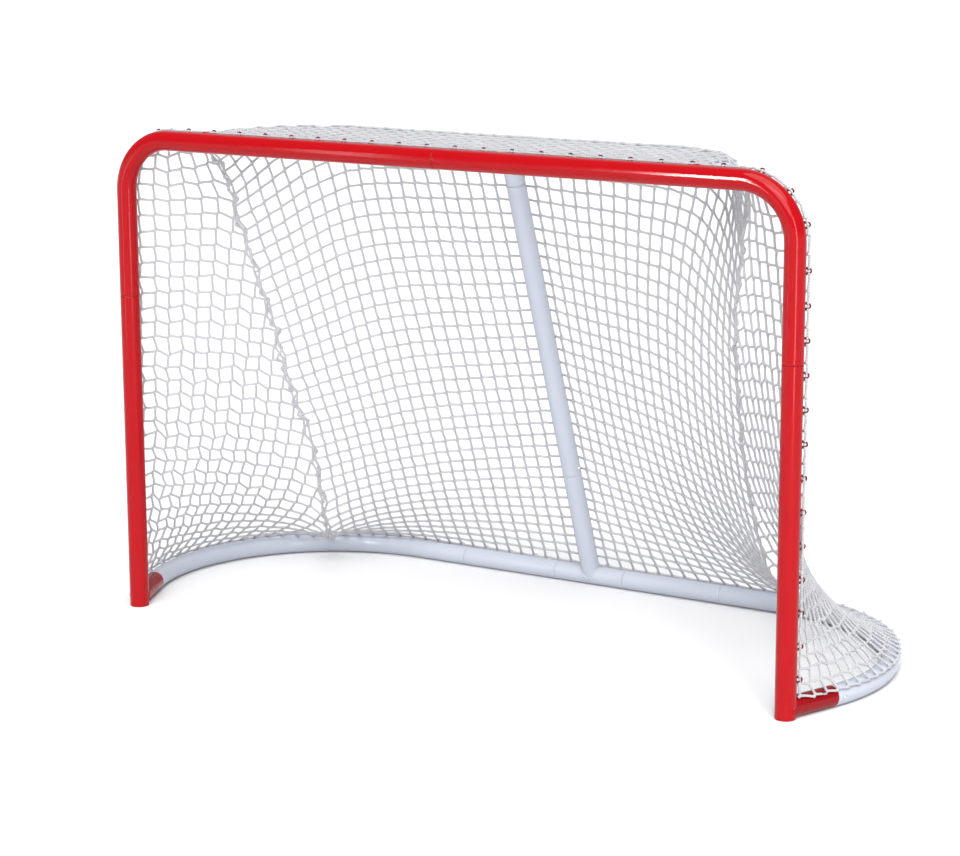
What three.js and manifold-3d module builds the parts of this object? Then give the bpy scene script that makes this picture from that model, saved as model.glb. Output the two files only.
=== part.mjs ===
// Knock-down steel ice hockey goal with its cord net.
// Millimetres, +Z up. The goal line is the X axis of the working frame and +Y points into the goal.
import * as THREE from 'three';
import { mergeVertices } from 'three/addons/utils/BufferGeometryUtils.js';
import Module from 'manifold-3d';

const wasm = await Module();
wasm.setup();

// ---- driving dimensions -------------------------------------------------------------------
const INCH = 25.4;
const OPENING_WIDTH = 72 * INCH;          // between the posts
const OPENING_HEIGHT = 48 * INCH;         // ice to the underside of the crossbar
const TUBE_DIAMETER = 2 * INCH;           // every frame tube is the same stock
const WALL = 2.0;
const CORNER_RADIUS = 135;                // centre line of the post-to-crossbar bend
const BASE_DEPTH = 790;                   // goal line to the centre of the rear base tube
const BASE_STUB_ANGLE = 22;               // degrees, the base leaves each post heading outwards
const BASE_STUB_LENGTH = 150;             // post centre to the joint with the white tube
const SHELF_DEPTH = 343;                  // goal line to the centre of the rear shelf tube
const SHELF_HALF_WIDTH = 690;             // centre of each shelf stub
const SHELF_DROP = 6;                     // shelf centre line below the crossbar centre line
const SHELF_STUB_START = 8;               // behind the crossbar's centre, inside its wall
const SHELF_STUB_LENGTH = 75;             // from the crossbar's centre to the joint
const SHELF_LEAD = 28;                    // straight tube between the shelf joint and its bend
const SHELF_BEND_RADIUS = 240;
const POST_SEAM_HEIGHT = 835;
const TEE_HALF_LENGTH = 105;              // the centre tees at the base and at the shelf
const REAR_SEAM_X = 395;                  // joint between the curved and the straight base tubes
const BRACE_LOWER_SEAM = 330;             // along the brace, from the base tube's centre
const BRACE_UPPER_STUB = 100;             // along the brace, from the shelf tube's centre
const HOOK_PITCH = 79;
const HOOK_WIRE = 4;
const HOOK_HEIGHT = 13;                   // top of the wire above the tube's surface
const HOOK_HALF_FOOT = 7;
const HOOK_CROWN_SHARE = 0.6;             // half width of the hook's top, of its half foot
const HOOK_WELD_SHARE = 0.9;              // how far into the tube's wall each foot reaches
const HOOK_LEAN_FRAME = 35;               // degrees the hooks lean back on the posts and crossbar
const HOOK_LEAN_BASE = 45;                // degrees from straight up, outwards, on the base
const LOWEST_POST_HOOK = 93.5;
const POST_HOOK_PITCH = 79.5;
const FIRST_HOOK_OVER_SEAM = 53.5;        // above the joint in the post
const HOOKS_OVER_SEAM = 3;
const CORNER_HOOK_ANGLES = [15, 45, 75];  // degrees round the bend
const BASE_HOOK_START = 100;              // along the base, from the post's centre
const SLEEVE_RADIUS = 22.3;
const SLEEVE_RADIUS_IN_BEND = 20.8;       // looser, so that it follows the start of the bend
const SLEEVE_WALL = 2.5;
const SLEEVE_REACH = 40;                  // into a straight tube
const SLEEVE_REACH_IN_BEND = 24;          // into a tube that starts to bend at the joint
const SCREW_OFFSET = 17;                  // from the joint to its screw
const SCREW_HOLE = 3.4;
const SCREW_SHANK = 2.8;
const SCREW_HEAD = 5.2;
const SCREW_HEAD_HEIGHT = 3;
const SCREW_SEAT = 0.4;                   // gap under the head
const SCREW_REACH = 10;                   // below the tube's surface
const SCREW_HEAD_TOP_SHARE = 0.7;         // radius of the head's top, of its rim
const SLEEVE_HOLE_DEPTH = 14;
const TUBE_HOLE_DEPTH = 10;
const HOLE_CLEARANCE = 4;                 // a drilled hole runs this far above the surface
const BORE_OVERRUN = 2;                   // a bore runs this far past an open end
const PLUG_HEIGHT = 16;
const PLUG_SKIN = 3;
const PLUG_CLEARANCE = 1;
const JOINT_GAP = 0.3;
const NET_THICKNESS = 3;
const NET_OVER_SHELF = 6;                 // between the shelf tube and the skin that bends round it
const NET_FOOT_OUT = 17;                  // lower edge of the net, outwards of the base tube's centre
const NET_FOOT_RISE = 11;                 // and above the tube
const SEAM_FOOT_ANGLE = 58;               // degrees round the base curve, where the laced seam ends
const SHELF_NET_START = 66;               // the main panel's side edge lies on the shelf from here
const SIDE_NET_INSET = 10;                // the side panel's edge, in from the post's centre line
const SIDE_NET_DROP = 35;                 // and below the corner's centre line
const SIDE_NET_BACK = 5.5;                // and behind the tube
const SIDE_NET_FOOT_OUT = 13;             // its foot, outwards of the post's centre
const SIDE_NET_FOOT_START = 34;           // along the base, from the post's centre
const SIDE_NET_STRAIGHT_SHARE = 0.88;     // of the front edge, from the foot up; the rest is bent
const SIDE_NET_BEND = 78;                 // degrees of the corner that the panel follows
const SIDE_NET_FIRST = 0.015;             // its edges stop just short of the post and the seam
const SIDE_NET_LAST = 0.95;
const SIDE_NET_FOOT_PULL = 6;             // power by which the base's curve draws the panel out
const MAIN_NET_REACH = 0.993;             // its side edges stop just short of the seams
const MAIN_NET_SEAM_PULL = 5;             // power by which the seams draw the panel in
const OUTER_SIDES = 20;
const BORE_SIDES = 12;
const SLEEVE_BORE_SIDES = 8;
const SCREW_SIDES = 6;
const WIRE_SIDES = 3;

// ---- values that follow from them ---------------------------------------------------------
const R = TUBE_DIAMETER / 2;
const BORE = R - WALL;
const POST_X = OPENING_WIDTH / 2 + R;
const BAR_Z = OPENING_HEIGHT + R;
const SHELF_Z = BAR_Z - SHELF_DROP;
const BEND_START_Z = BAR_Z - CORNER_RADIUS;
const BEND_START_X = POST_X - CORNER_RADIUS;
const rad = THREE.MathUtils.degToRad;
const STUB_SIN = Math.sin(rad(BASE_STUB_ANGLE));
const STUB_COS = Math.cos(rad(BASE_STUB_ANGLE));
const BASE_RADIUS = (BASE_DEPTH - BASE_STUB_LENGTH * STUB_COS) / (1 + STUB_SIN);
const BASE_ARC_CENTRE_X = POST_X + BASE_STUB_LENGTH * STUB_SIN - BASE_RADIUS * STUB_COS;
const BASE_ARC_CENTRE_Y = BASE_STUB_LENGTH * STUB_COS + BASE_RADIUS * STUB_SIN;
const SHELF_ARC_CENTRE_X = SHELF_HALF_WIDTH - SHELF_BEND_RADIUS;
const SHELF_ARC_CENTRE_Y = SHELF_DEPTH - SHELF_BEND_RADIUS;
const UP = new THREE.Vector3(0, 0, 1);
const DOWN = new THREE.Vector3(0, 0, -1);
const BACK = new THREE.Vector3(0, 1, 0);
const RIGHT = new THREE.Vector3(1, 0, 0);
const BASE_MIDDLE = new THREE.Vector3(0, BASE_DEPTH, R);
const SHELF_MIDDLE = new THREE.Vector3(0, SHELF_DEPTH, SHELF_Z);
const BRACE_LENGTH = BASE_MIDDLE.distanceTo(SHELF_MIDDLE);
const BRACE_DIRECTION = SHELF_MIDDLE.clone().sub(BASE_MIDDLE).normalize();

// ---- materials ----------------------------------------------------------------------------
const redPaint = { color: 0xd61c26, roughness: 0.28, metalness: 0.0 };
const whitePaint = { color: 0xc8cede, roughness: 0.32, metalness: 0.0 };
const zincSteel = { color: 0xa9adb2, roughness: 0.35, metalness: 0.9 };
const blackPlastic = { color: 0x1c1c1e, roughness: 0.6, metalness: 0.0 };
const netCord = { color: 0xeeeef2, roughness: 0.85, metalness: 0.0 };

const goal = new THREE.Group();
const workFrame = new THREE.Group();
// The row's origin is under the middle of the goal's footprint.
// The crossbar is the foremost piece and the screw heads on the rear base tube are the rearmost.
const REARMOST = BASE_DEPTH + R + SCREW_SEAT + SCREW_HEAD_HEIGHT;
workFrame.position.set(0, -(REARMOST - R) / 2, 0);
goal.add(workFrame);

function addPart(name, geometry, look) {
  const mesh = new THREE.Mesh(geometry, new THREE.MeshStandardMaterial(look));
  mesh.name = name;
  workFrame.add(mesh);
}

// ---- paths --------------------------------------------------------------------------------
// A path that is swept from station to station, so that straight runs need no extra sections.
class StationPath extends THREE.Curve {
  constructor(points, tangents) {
    super();
    this.points = points;
    this.tangents = tangents;
  }
  station(t) {
    return Math.round(t * (this.points.length - 1));
  }
  getPoint(t, target = new THREE.Vector3()) {
    return target.copy(this.points[this.station(t)]);
  }
  getPointAt(t, target = new THREE.Vector3()) {
    return this.getPoint(t, target);
  }
  getTangentAt(t, target = new THREE.Vector3()) {
    return target.copy(this.tangents[this.station(t)]);
  }
}

// Walks from start along heading. A move is { straight } or { bend, radius, axis, steps }.
function walk(start, heading, moves) {
  const points = [start.clone()];
  const tangents = [heading.clone()];
  let here = start.clone();
  let ahead = heading.clone();
  for (const move of moves) {
    if (move.straight !== undefined) {
      here = here.clone().addScaledVector(ahead, move.straight);
      points.push(here);
      tangents.push(ahead.clone());
      continue;
    }
    const toCentre = new THREE.Vector3().crossVectors(move.axis, ahead).multiplyScalar(move.radius);
    const centre = here.clone().add(toCentre);
    const fromCentre = toCentre.clone().negate();
    const startAhead = ahead.clone();
    for (let i = 1; i <= move.steps; i += 1) {
      const angle = rad(move.bend) * i / move.steps;
      here = centre.clone().add(fromCentre.clone().applyAxisAngle(move.axis, angle));
      ahead = startAhead.clone().applyAxisAngle(move.axis, angle);
      points.push(here);
      tangents.push(ahead.clone());
    }
  }
  return new StationPath(points, tangents);
}

function straightPath(from, to) {
  const heading = to.clone().sub(from);
  const length = heading.length();
  return walk(from, heading.normalize(), [{ straight: length }]);
}

// ---- solids -------------------------------------------------------------------------------
function polygon(radius, sides) {
  const points = [];
  for (let i = 0; i < sides; i += 1) {
    const angle = 2 * Math.PI * i / sides;
    points.push(new THREE.Vector2(radius * Math.cos(angle), radius * Math.sin(angle)));
  }
  return points;
}

function sweep(path, radius, sides) {
  const shape = new THREE.Shape(polygon(radius, sides));
  const steps = path.points.length - 1;
  return new THREE.ExtrudeGeometry(shape, { steps, bevelEnabled: false, extrudePath: path });
}

function signedVolume(positions, indices) {
  const a = new THREE.Vector3();
  const b = new THREE.Vector3();
  const c = new THREE.Vector3();
  let volume = 0;
  for (let i = 0; i < indices.length; i += 3) {
    a.fromArray(positions, indices[i] * 3);
    b.fromArray(positions, indices[i + 1] * 3);
    c.fromArray(positions, indices[i + 2] * 3);
    volume += a.dot(b.cross(c)) / 6;
  }
  return volume;
}

function toSolid(geometry) {
  const bare = geometry.clone();
  bare.deleteAttribute('normal');
  bare.deleteAttribute('uv');
  const merged = mergeVertices(bare, 1e-4);
  const vertProperties = new Float32Array(merged.attributes.position.array);
  const triVerts = new Uint32Array(merged.index.array);
  if (signedVolume(vertProperties, triVerts) < 0) {
    for (let i = 0; i < triVerts.length; i += 3) {
      [triVerts[i], triVerts[i + 1]] = [triVerts[i + 1], triVerts[i]];
    }
  }
  return new wasm.Manifold(new wasm.Mesh({ numProp: 3, vertProperties, triVerts }));
}

function toGeometry(solid) {
  const mesh = solid.getMesh();
  const geometry = new THREE.BufferGeometry();
  geometry.setAttribute('position', new THREE.BufferAttribute(mesh.vertProperties, 3));
  geometry.setIndex(new THREE.BufferAttribute(mesh.triVerts, 1));
  geometry.computeVertexNormals();
  return geometry;
}

const rod = (path, radius, sides) => toSolid(sweep(path, radius, sides));
const outside = (path) => rod(path, R, OUTER_SIDES);
const bore = (path) => rod(path, BORE, BORE_SIDES);

// A bore has to run a little past both open ends of its tube.
function extended(path, before, after) {
  const points = path.points.map((point) => point.clone());
  const last = points.length - 1;
  points[0].addScaledVector(path.tangents[0], -before);
  points[last].addScaledVector(path.tangents[last], after);
  return new StationPath(points, path.tangents);
}

const pastEnds = (path) => extended(path, BORE_OVERRUN, BORE_OVERRUN);

// ---- net hooks: bent wire staples welded on by both feet ----------------------------------
function hook(point, along, out) {
  const foot = R - WALL * HOOK_WELD_SHARE;
  const top = R + HOOK_HEIGHT - HOOK_WIRE / 2;
  const outline = [
    [-HOOK_HALF_FOOT, foot],
    [-HOOK_HALF_FOOT * HOOK_CROWN_SHARE, top],
    [HOOK_HALF_FOOT * HOOK_CROWN_SHARE, top],
    [HOOK_HALF_FOOT, foot],
  ];
  const points = outline.map(([a, b]) => point.clone().addScaledVector(along, a).addScaledVector(out, b));
  const tangents = points.map((p, i) => {
    const before = points[Math.max(i - 1, 0)];
    const after = points[Math.min(i + 1, points.length - 1)];
    return after.clone().sub(before).normalize();
  });
  tangents[0].copy(out);
  tangents[points.length - 1].copy(out).negate();
  return rod(new StationPath(points, tangents), HOOK_WIRE / 2, WIRE_SIDES);
}

function withHooks(solid, places) {
  return places.reduce((sum, place) => sum.add(hook(place.point, place.along, place.out)), solid);
}

function lean(outward, towards, degrees) {
  const direction = outward.clone().multiplyScalar(Math.cos(rad(degrees)));
  return direction.addScaledVector(towards, Math.sin(rad(degrees)));
}

// The point of the base's centre line that is s along it from the post, and its directions.
function basePlace(side, s) {
  const arcLength = BASE_RADIUS * (Math.PI / 2 + rad(BASE_STUB_ANGLE));
  let point;
  let outward;
  let along;
  if (s < BASE_STUB_LENGTH) {
    outward = new THREE.Vector3(STUB_COS, -STUB_SIN, 0);
    along = new THREE.Vector3(STUB_SIN, STUB_COS, 0);
    point = new THREE.Vector3(POST_X, 0, R).addScaledVector(along, s);
  } else if (s < BASE_STUB_LENGTH + arcLength) {
    const angle = (s - BASE_STUB_LENGTH) / BASE_RADIUS - rad(BASE_STUB_ANGLE);
    outward = new THREE.Vector3(Math.cos(angle), Math.sin(angle), 0);
    along = new THREE.Vector3(-Math.sin(angle), Math.cos(angle), 0);
    point = new THREE.Vector3(BASE_ARC_CENTRE_X, BASE_ARC_CENTRE_Y, R).addScaledVector(outward, BASE_RADIUS);
  } else {
    outward = new THREE.Vector3(0, 1, 0);
    along = new THREE.Vector3(-1, 0, 0);
    const x = BASE_ARC_CENTRE_X - (s - BASE_STUB_LENGTH - arcLength);
    point = new THREE.Vector3(x, BASE_DEPTH, R);
  }
  for (const vector of [point, outward, along]) {
    vector.x *= side;
  }
  return { s, point, outward, along };
}

const BASE_HALF_LENGTH = BASE_STUB_LENGTH + BASE_RADIUS * (Math.PI / 2 + rad(BASE_STUB_ANGLE))
  + BASE_ARC_CENTRE_X;
const BASE_SEAMS = [
  BASE_STUB_LENGTH,
  BASE_HALF_LENGTH - REAR_SEAM_X,
  BASE_HALF_LENGTH - TEE_HALF_LENGTH,
  BASE_HALF_LENGTH,
];

// The base hooks of one side that lie between two joints, clear of the joints themselves.
function baseHooks(side, from, to) {
  const places = [];
  const clear = HOOK_HALF_FOOT + HOOK_WIRE;
  for (let s = BASE_HOOK_START; s < BASE_HALF_LENGTH - clear; s += HOOK_PITCH) {
    if (s < from + clear || s > to - clear) {
      continue;
    }
    const place = basePlace(side, s);
    places.push({ point: place.point, along: place.along, out: lean(UP, place.outward, HOOK_LEAN_BASE) });
  }
  return places;
}

// ---- screws: one beside every joint, its head on the far side from the play --------------
const screwCentres = [];

function screwHole(centre, out, depth) {
  const from = centre.clone().addScaledVector(out, R - depth);
  const to = centre.clone().addScaledVector(out, R + HOLE_CLEARANCE);
  return rod(straightPath(from, to), SCREW_HOLE, SCREW_SIDES);
}

function screwGeometry(centre, out) {
  const profile = [
    new THREE.Vector2(0, -SCREW_REACH),
    new THREE.Vector2(SCREW_SHANK, -SCREW_REACH),
    new THREE.Vector2(SCREW_SHANK, SCREW_SEAT),
    new THREE.Vector2(SCREW_HEAD, SCREW_SEAT),
    new THREE.Vector2(SCREW_HEAD * SCREW_HEAD_TOP_SHARE, SCREW_SEAT + SCREW_HEAD_HEIGHT),
    new THREE.Vector2(0, SCREW_SEAT + SCREW_HEAD_HEIGHT),
  ];
  const geometry = new THREE.LatheGeometry(profile, SCREW_SIDES);
  const turn = new THREE.Quaternion().setFromUnitVectors(new THREE.Vector3(0, 1, 0), out);
  geometry.applyQuaternion(turn);
  const seatPoint = centre.clone().addScaledVector(out, R);
  geometry.translate(seatPoint.x, seatPoint.y, seatPoint.z);
  return toGeometry(toSolid(geometry));
}

// A joint: an inner sleeve that spans the gap, and a screw through the second tube.
// ahead points from the first tube, which the sleeve is fixed in, to the second one.
function joint(name, centre, ahead, out, reachBefore, reachAfter, radius = SLEEVE_RADIUS) {
  const from = centre.clone().addScaledVector(ahead, -reachBefore);
  const to = centre.clone().addScaledVector(ahead, reachAfter);
  const path = straightPath(from, to);
  const screw = centre.clone().addScaledVector(ahead, SCREW_OFFSET);
  const hole = screwHole(screw, out, SLEEVE_HOLE_DEPTH);
  const sleeve = rod(path, radius, BORE_SIDES)
    .subtract(rod(pastEnds(path), radius - SLEEVE_WALL, SLEEVE_BORE_SIDES))
    .subtract(hole);
  addPart(`${name}_sleeve`, toGeometry(sleeve), zincSteel);
  addPart(`${name}_screw`, screwGeometry(screw, out), zincSteel);
  screwCentres.push({ name, hole: screwHole(screw, out, TUBE_HOLE_DEPTH) });
}

function drilled(solid, ...names) {
  const holes = screwCentres.filter((screw) => names.includes(screw.name));
  return holes.reduce((rest, screw) => rest.subtract(screw.hole), solid);
}

// ---- the frame ----------------------------------------------------------------------------
function sideName(side) {
  return side < 0 ? 'left' : 'right';
}

function buildJoints() {
  const middle = new THREE.Vector3(0, 0, BAR_Z);
  joint('crossbar', middle, RIGHT, BACK, SLEEVE_REACH, SLEEVE_REACH);
  for (const side of [-1, 1]) {
    const label = sideName(side);
    const post = new THREE.Vector3(side * POST_X, 0, POST_SEAM_HEIGHT);
    joint(`post_${label}`, post, UP, BACK, SLEEVE_REACH, SLEEVE_REACH);
    const heel = basePlace(side, BASE_STUB_LENGTH);
    const intoBend = [SLEEVE_REACH, SLEEVE_REACH_IN_BEND, SLEEVE_RADIUS_IN_BEND];
    joint(`base_front_${label}`, heel.point, heel.along, heel.outward, ...intoBend);
    const rear = basePlace(side, BASE_SEAMS[1]);
    joint(`base_rear_${label}`, rear.point, rear.along, BACK, SLEEVE_REACH, SLEEVE_REACH);
    const tee = basePlace(side, BASE_SEAMS[2]);
    joint(`base_tee_${label}`, tee.point, tee.along, BACK, SLEEVE_REACH, SLEEVE_REACH);
    const shelf = new THREE.Vector3(side * SHELF_HALF_WIDTH, SHELF_STUB_LENGTH, SHELF_Z);
    joint(`shelf_front_${label}`, shelf, BACK, DOWN, SLEEVE_REACH, SHELF_LEAD);
    const shelfTee = new THREE.Vector3(side * TEE_HALF_LENGTH, SHELF_DEPTH, SHELF_Z);
    joint(`shelf_tee_${label}`, shelfTee, new THREE.Vector3(-side, 0, 0), DOWN, SLEEVE_REACH, SLEEVE_REACH);
  }
  const lower = BASE_MIDDLE.clone().addScaledVector(BRACE_DIRECTION, BRACE_LOWER_SEAM);
  const upper = BASE_MIDDLE.clone().addScaledVector(BRACE_DIRECTION, BRACE_LENGTH - BRACE_UPPER_STUB);
  joint('brace_lower', lower, BRACE_DIRECTION, RIGHT, SLEEVE_REACH, SLEEVE_REACH);
  joint('brace_upper', upper, BRACE_DIRECTION, RIGHT, SLEEVE_REACH, SLEEVE_REACH);
}

// A post with the front stub of the base welded to its foot.
function lowerPost(side) {
  const label = sideName(side);
  const foot = new THREE.Vector3(side * POST_X, 0, 0);
  const head = new THREE.Vector3(side * POST_X, 0, POST_SEAM_HEIGHT - JOINT_GAP / 2);
  const postPath = straightPath(foot, head);
  const stubEnd = basePlace(side, BASE_STUB_LENGTH - JOINT_GAP / 2);
  const stubPath = straightPath(basePlace(side, 0).point, stubEnd.point);
  const stubBore = bore(extended(stubPath, 0, BORE_OVERRUN)).subtract(outside(pastEnds(postPath)));
  const places = baseHooks(side, 0, BASE_STUB_LENGTH);
  const outwards = new THREE.Vector3(side, 0, 0);
  for (let z = LOWEST_POST_HOOK; z < POST_SEAM_HEIGHT - HOOK_HALF_FOOT; z += POST_HOOK_PITCH) {
    const point = new THREE.Vector3(side * POST_X, 0, z);
    places.push({ point, along: UP, out: lean(outwards, BACK, HOOK_LEAN_FRAME) });
  }
  const solid = withHooks(outside(postPath).add(outside(stubPath)), places)
    .subtract(bore(pastEnds(postPath)))
    .subtract(stubBore);
  addPart(`post_lower_${label}`, toGeometry(solid), redPaint);
}

// The upper post, the corner bend and half of the crossbar, with one shelf stub welded on.
function corner(side) {
  const label = sideName(side);
  const start = new THREE.Vector3(side * POST_X, 0, POST_SEAM_HEIGHT + JOINT_GAP / 2);
  const axis = new THREE.Vector3(0, -side, 0);
  const path = walk(start, UP, [
    { straight: BEND_START_Z - start.z },
    { bend: 90, radius: CORNER_RADIUS, axis, steps: 7 },
    { straight: BEND_START_X - JOINT_GAP / 2 },
  ]);
  const stubFrom = new THREE.Vector3(side * SHELF_HALF_WIDTH, SHELF_STUB_START, SHELF_Z);
  const stubTo = new THREE.Vector3(side * SHELF_HALF_WIDTH, SHELF_STUB_LENGTH - JOINT_GAP / 2, SHELF_Z);
  const stubPath = straightPath(stubFrom, stubTo);
  const stubFront = outside(stubPath).subtract(bore(pastEnds(path)));
  const stubBore = bore(extended(stubPath, 0, BORE_OVERRUN)).subtract(outside(path));
  const outwards = new THREE.Vector3(side, 0, 0);
  const places = [];
  for (let i = 0; i < HOOKS_OVER_SEAM; i += 1) {
    const z = POST_SEAM_HEIGHT + FIRST_HOOK_OVER_SEAM + i * POST_HOOK_PITCH;
    const point = new THREE.Vector3(side * POST_X, 0, z);
    places.push({ point, along: UP, out: lean(outwards, BACK, HOOK_LEAN_FRAME) });
  }
  for (const degrees of CORNER_HOOK_ANGLES) {
    const radial = new THREE.Vector3(side * Math.cos(rad(degrees)), 0, Math.sin(rad(degrees)));
    const centre = new THREE.Vector3(side * BEND_START_X, 0, BEND_START_Z);
    const point = centre.addScaledVector(radial, CORNER_RADIUS);
    const along = new THREE.Vector3(-radial.z * side, 0, radial.x * side);
    places.push({ point, along, out: lean(radial, BACK, HOOK_LEAN_FRAME) });
  }
  for (let x = HOOK_PITCH / 2; x < BEND_START_X - HOOK_PITCH / 2; x += HOOK_PITCH) {
    const point = new THREE.Vector3(side * x, 0, BAR_Z);
    places.push({ point, along: RIGHT, out: lean(UP, BACK, HOOK_LEAN_FRAME) });
  }
  const solid = withHooks(outside(path).add(stubFront), places)
    .subtract(bore(pastEnds(path)))
    .subtract(stubBore);
  addPart(`corner_${label}`, toGeometry(drilled(solid, `post_${label}`, 'crossbar')), redPaint);
}

// Curved base tube from the red stub round to the rear.
function baseCurve(side) {
  const label = sideName(side);
  const start = basePlace(side, BASE_STUB_LENGTH + JOINT_GAP / 2);
  const path = walk(start.point, start.along, [
    { bend: 90 + BASE_STUB_ANGLE, radius: BASE_RADIUS, axis: new THREE.Vector3(0, 0, side), steps: 12 },
    { straight: BASE_ARC_CENTRE_X - REAR_SEAM_X - JOINT_GAP },
  ]);
  const solid = withHooks(outside(path), baseHooks(side, BASE_SEAMS[0], BASE_SEAMS[1]))
    .subtract(bore(pastEnds(path)));
  addPart(`base_curve_${label}`, toGeometry(drilled(solid, `base_front_${label}`)), whitePaint);
}

// Short straight tube between the curve and the centre tee.
function baseRear(side) {
  const label = sideName(side);
  const from = basePlace(side, BASE_SEAMS[1] + JOINT_GAP / 2).point;
  const to = basePlace(side, BASE_SEAMS[2] - JOINT_GAP / 2).point;
  const path = straightPath(from, to);
  const solid = withHooks(outside(path), baseHooks(side, BASE_SEAMS[1], BASE_SEAMS[2]))
    .subtract(bore(pastEnds(path)));
  addPart(`base_rear_${label}`, toGeometry(drilled(solid, `base_rear_${label}`)), whitePaint);
}

// Tee in the middle of the rear base tube, with the lower end of the brace welded to it.
function baseTee() {
  const from = basePlace(-1, BASE_SEAMS[2] + JOINT_GAP / 2).point;
  const to = basePlace(1, BASE_SEAMS[2] + JOINT_GAP / 2).point;
  const barPath = straightPath(from, to);
  const stubTo = BASE_MIDDLE.clone().addScaledVector(BRACE_DIRECTION, BRACE_LOWER_SEAM - JOINT_GAP / 2);
  const stubPath = straightPath(BASE_MIDDLE, stubTo);
  const stubBore = bore(extended(stubPath, 0, BORE_OVERRUN)).subtract(outside(barPath));
  const places = [-1, 1].flatMap((side) => baseHooks(side, BASE_SEAMS[2], BASE_SEAMS[3]));
  const solid = withHooks(outside(barPath).add(outside(stubPath)), places)
    .subtract(bore(pastEnds(barPath)))
    .subtract(stubBore);
  addPart('base_tee', toGeometry(drilled(solid, 'base_tee_left', 'base_tee_right')), whitePaint);
}

// Side of the top shelf: a short lead, the bend and half of the rear tube.
function shelfBend(side) {
  const label = sideName(side);
  const start = new THREE.Vector3(side * SHELF_HALF_WIDTH, SHELF_STUB_LENGTH + JOINT_GAP / 2, SHELF_Z);
  const path = walk(start, BACK, [
    { straight: SHELF_ARC_CENTRE_Y - start.y },
    { bend: 90, radius: SHELF_BEND_RADIUS, axis: new THREE.Vector3(0, 0, side), steps: 7 },
    { straight: SHELF_ARC_CENTRE_X - TEE_HALF_LENGTH - JOINT_GAP / 2 },
  ]);
  const solid = outside(path).subtract(bore(pastEnds(path)));
  addPart(`shelf_bend_${label}`, toGeometry(drilled(solid, `shelf_front_${label}`)), whitePaint);
}

// Tee in the middle of the shelf's rear tube, with the upper end of the brace welded to it.
function shelfTee() {
  const half = TEE_HALF_LENGTH - JOINT_GAP / 2;
  const from = SHELF_MIDDLE.clone().setX(-half);
  const to = SHELF_MIDDLE.clone().setX(half);
  const barPath = straightPath(from, to);
  const stubTo = SHELF_MIDDLE.clone().addScaledVector(BRACE_DIRECTION, JOINT_GAP / 2 - BRACE_UPPER_STUB);
  const stubPath = straightPath(SHELF_MIDDLE, stubTo);
  const stubBore = bore(extended(stubPath, 0, BORE_OVERRUN)).subtract(outside(barPath));
  const solid = outside(barPath).add(outside(stubPath))
    .subtract(bore(pastEnds(barPath)))
    .subtract(stubBore);
  const names = ['shelf_tee_left', 'shelf_tee_right', 'brace_upper'];
  addPart('shelf_tee', toGeometry(drilled(solid, ...names)), whitePaint);
}

function braceTube() {
  const from = BASE_MIDDLE.clone().addScaledVector(BRACE_DIRECTION, BRACE_LOWER_SEAM + JOINT_GAP / 2);
  const reach = BRACE_LENGTH - BRACE_UPPER_STUB - JOINT_GAP / 2;
  const to = BASE_MIDDLE.clone().addScaledVector(BRACE_DIRECTION, reach);
  const path = straightPath(from, to);
  const solid = outside(path).subtract(bore(pastEnds(path)));
  addPart('brace_tube', toGeometry(drilled(solid, 'brace_lower')), whitePaint);
}

// Plastic plug pushed into the open foot of a post.
function footPlug(side) {
  const radius = BORE - PLUG_CLEARANCE;
  const inner = radius - PLUG_SKIN;
  const profile = [
    new THREE.Vector2(0, 0),
    new THREE.Vector2(radius, 0),
    new THREE.Vector2(radius, PLUG_HEIGHT),
    new THREE.Vector2(inner, PLUG_HEIGHT),
    new THREE.Vector2(inner, PLUG_SKIN),
    new THREE.Vector2(0, PLUG_SKIN),
  ];
  const geometry = new THREE.LatheGeometry(profile, BORE_SIDES);
  geometry.rotateX(Math.PI / 2);
  geometry.translate(side * POST_X, 0, 0);
  addPart(`foot_plug_${sideName(side)}`, toGeometry(toSolid(geometry)), blackPlastic);
}

// ---- the net ------------------------------------------------------------------------------
// Each panel is a thin closed skin over a grid of points, thickened outwards.
function skin(columns, rows, place, outwardHint) {
  const grid = [];
  for (let j = 0; j <= rows; j += 1) {
    for (let i = 0; i <= columns; i += 1) {
      grid.push(place(i / columns, j / rows));
    }
  }
  const at = (i, j) => grid[j * (columns + 1) + i];
  const outer = [];
  for (let j = 0; j <= rows; j += 1) {
    for (let i = 0; i <= columns; i += 1) {
      const across = at(Math.min(i + 1, columns), j).clone().sub(at(Math.max(i - 1, 0), j));
      const down = at(i, Math.min(j + 1, rows)).clone().sub(at(i, Math.max(j - 1, 0)));
      const normal = across.cross(down).normalize();
      if (normal.dot(outwardHint(at(i, j))) < 0) {
        normal.negate();
      }
      outer.push(at(i, j).clone().addScaledVector(normal, NET_THICKNESS));
    }
  }
  const vertices = [...grid, ...outer].flatMap((point) => point.toArray());
  const count = grid.length;
  const indices = [];
  const quad = (a, b, c, d) => indices.push(a, b, c, a, c, d);
  for (let j = 0; j < rows; j += 1) {
    for (let i = 0; i < columns; i += 1) {
      const a = j * (columns + 1) + i;
      const b = a + 1;
      const c = a + columns + 2;
      const d = a + columns + 1;
      quad(a, b, c, d);
      quad(count + a, count + d, count + c, count + b);
    }
  }
  for (let i = 0; i < columns; i += 1) {
    const far = rows * (columns + 1) + i;
    quad(i, count + i, count + i + 1, i + 1);
    quad(far + 1, count + far + 1, count + far, far);
  }
  for (let j = 0; j < rows; j += 1) {
    const near = j * (columns + 1);
    const next = near + columns + 1;
    quad(next, count + next, count + near, near);
    quad(near + columns, count + near + columns, count + next + columns, next + columns);
  }
  const geometry = new THREE.BufferGeometry();
  geometry.setAttribute('position', new THREE.Float32BufferAttribute(vertices, 3));
  geometry.setIndex(indices);
  return toGeometry(toSolid(geometry));
}

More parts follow.
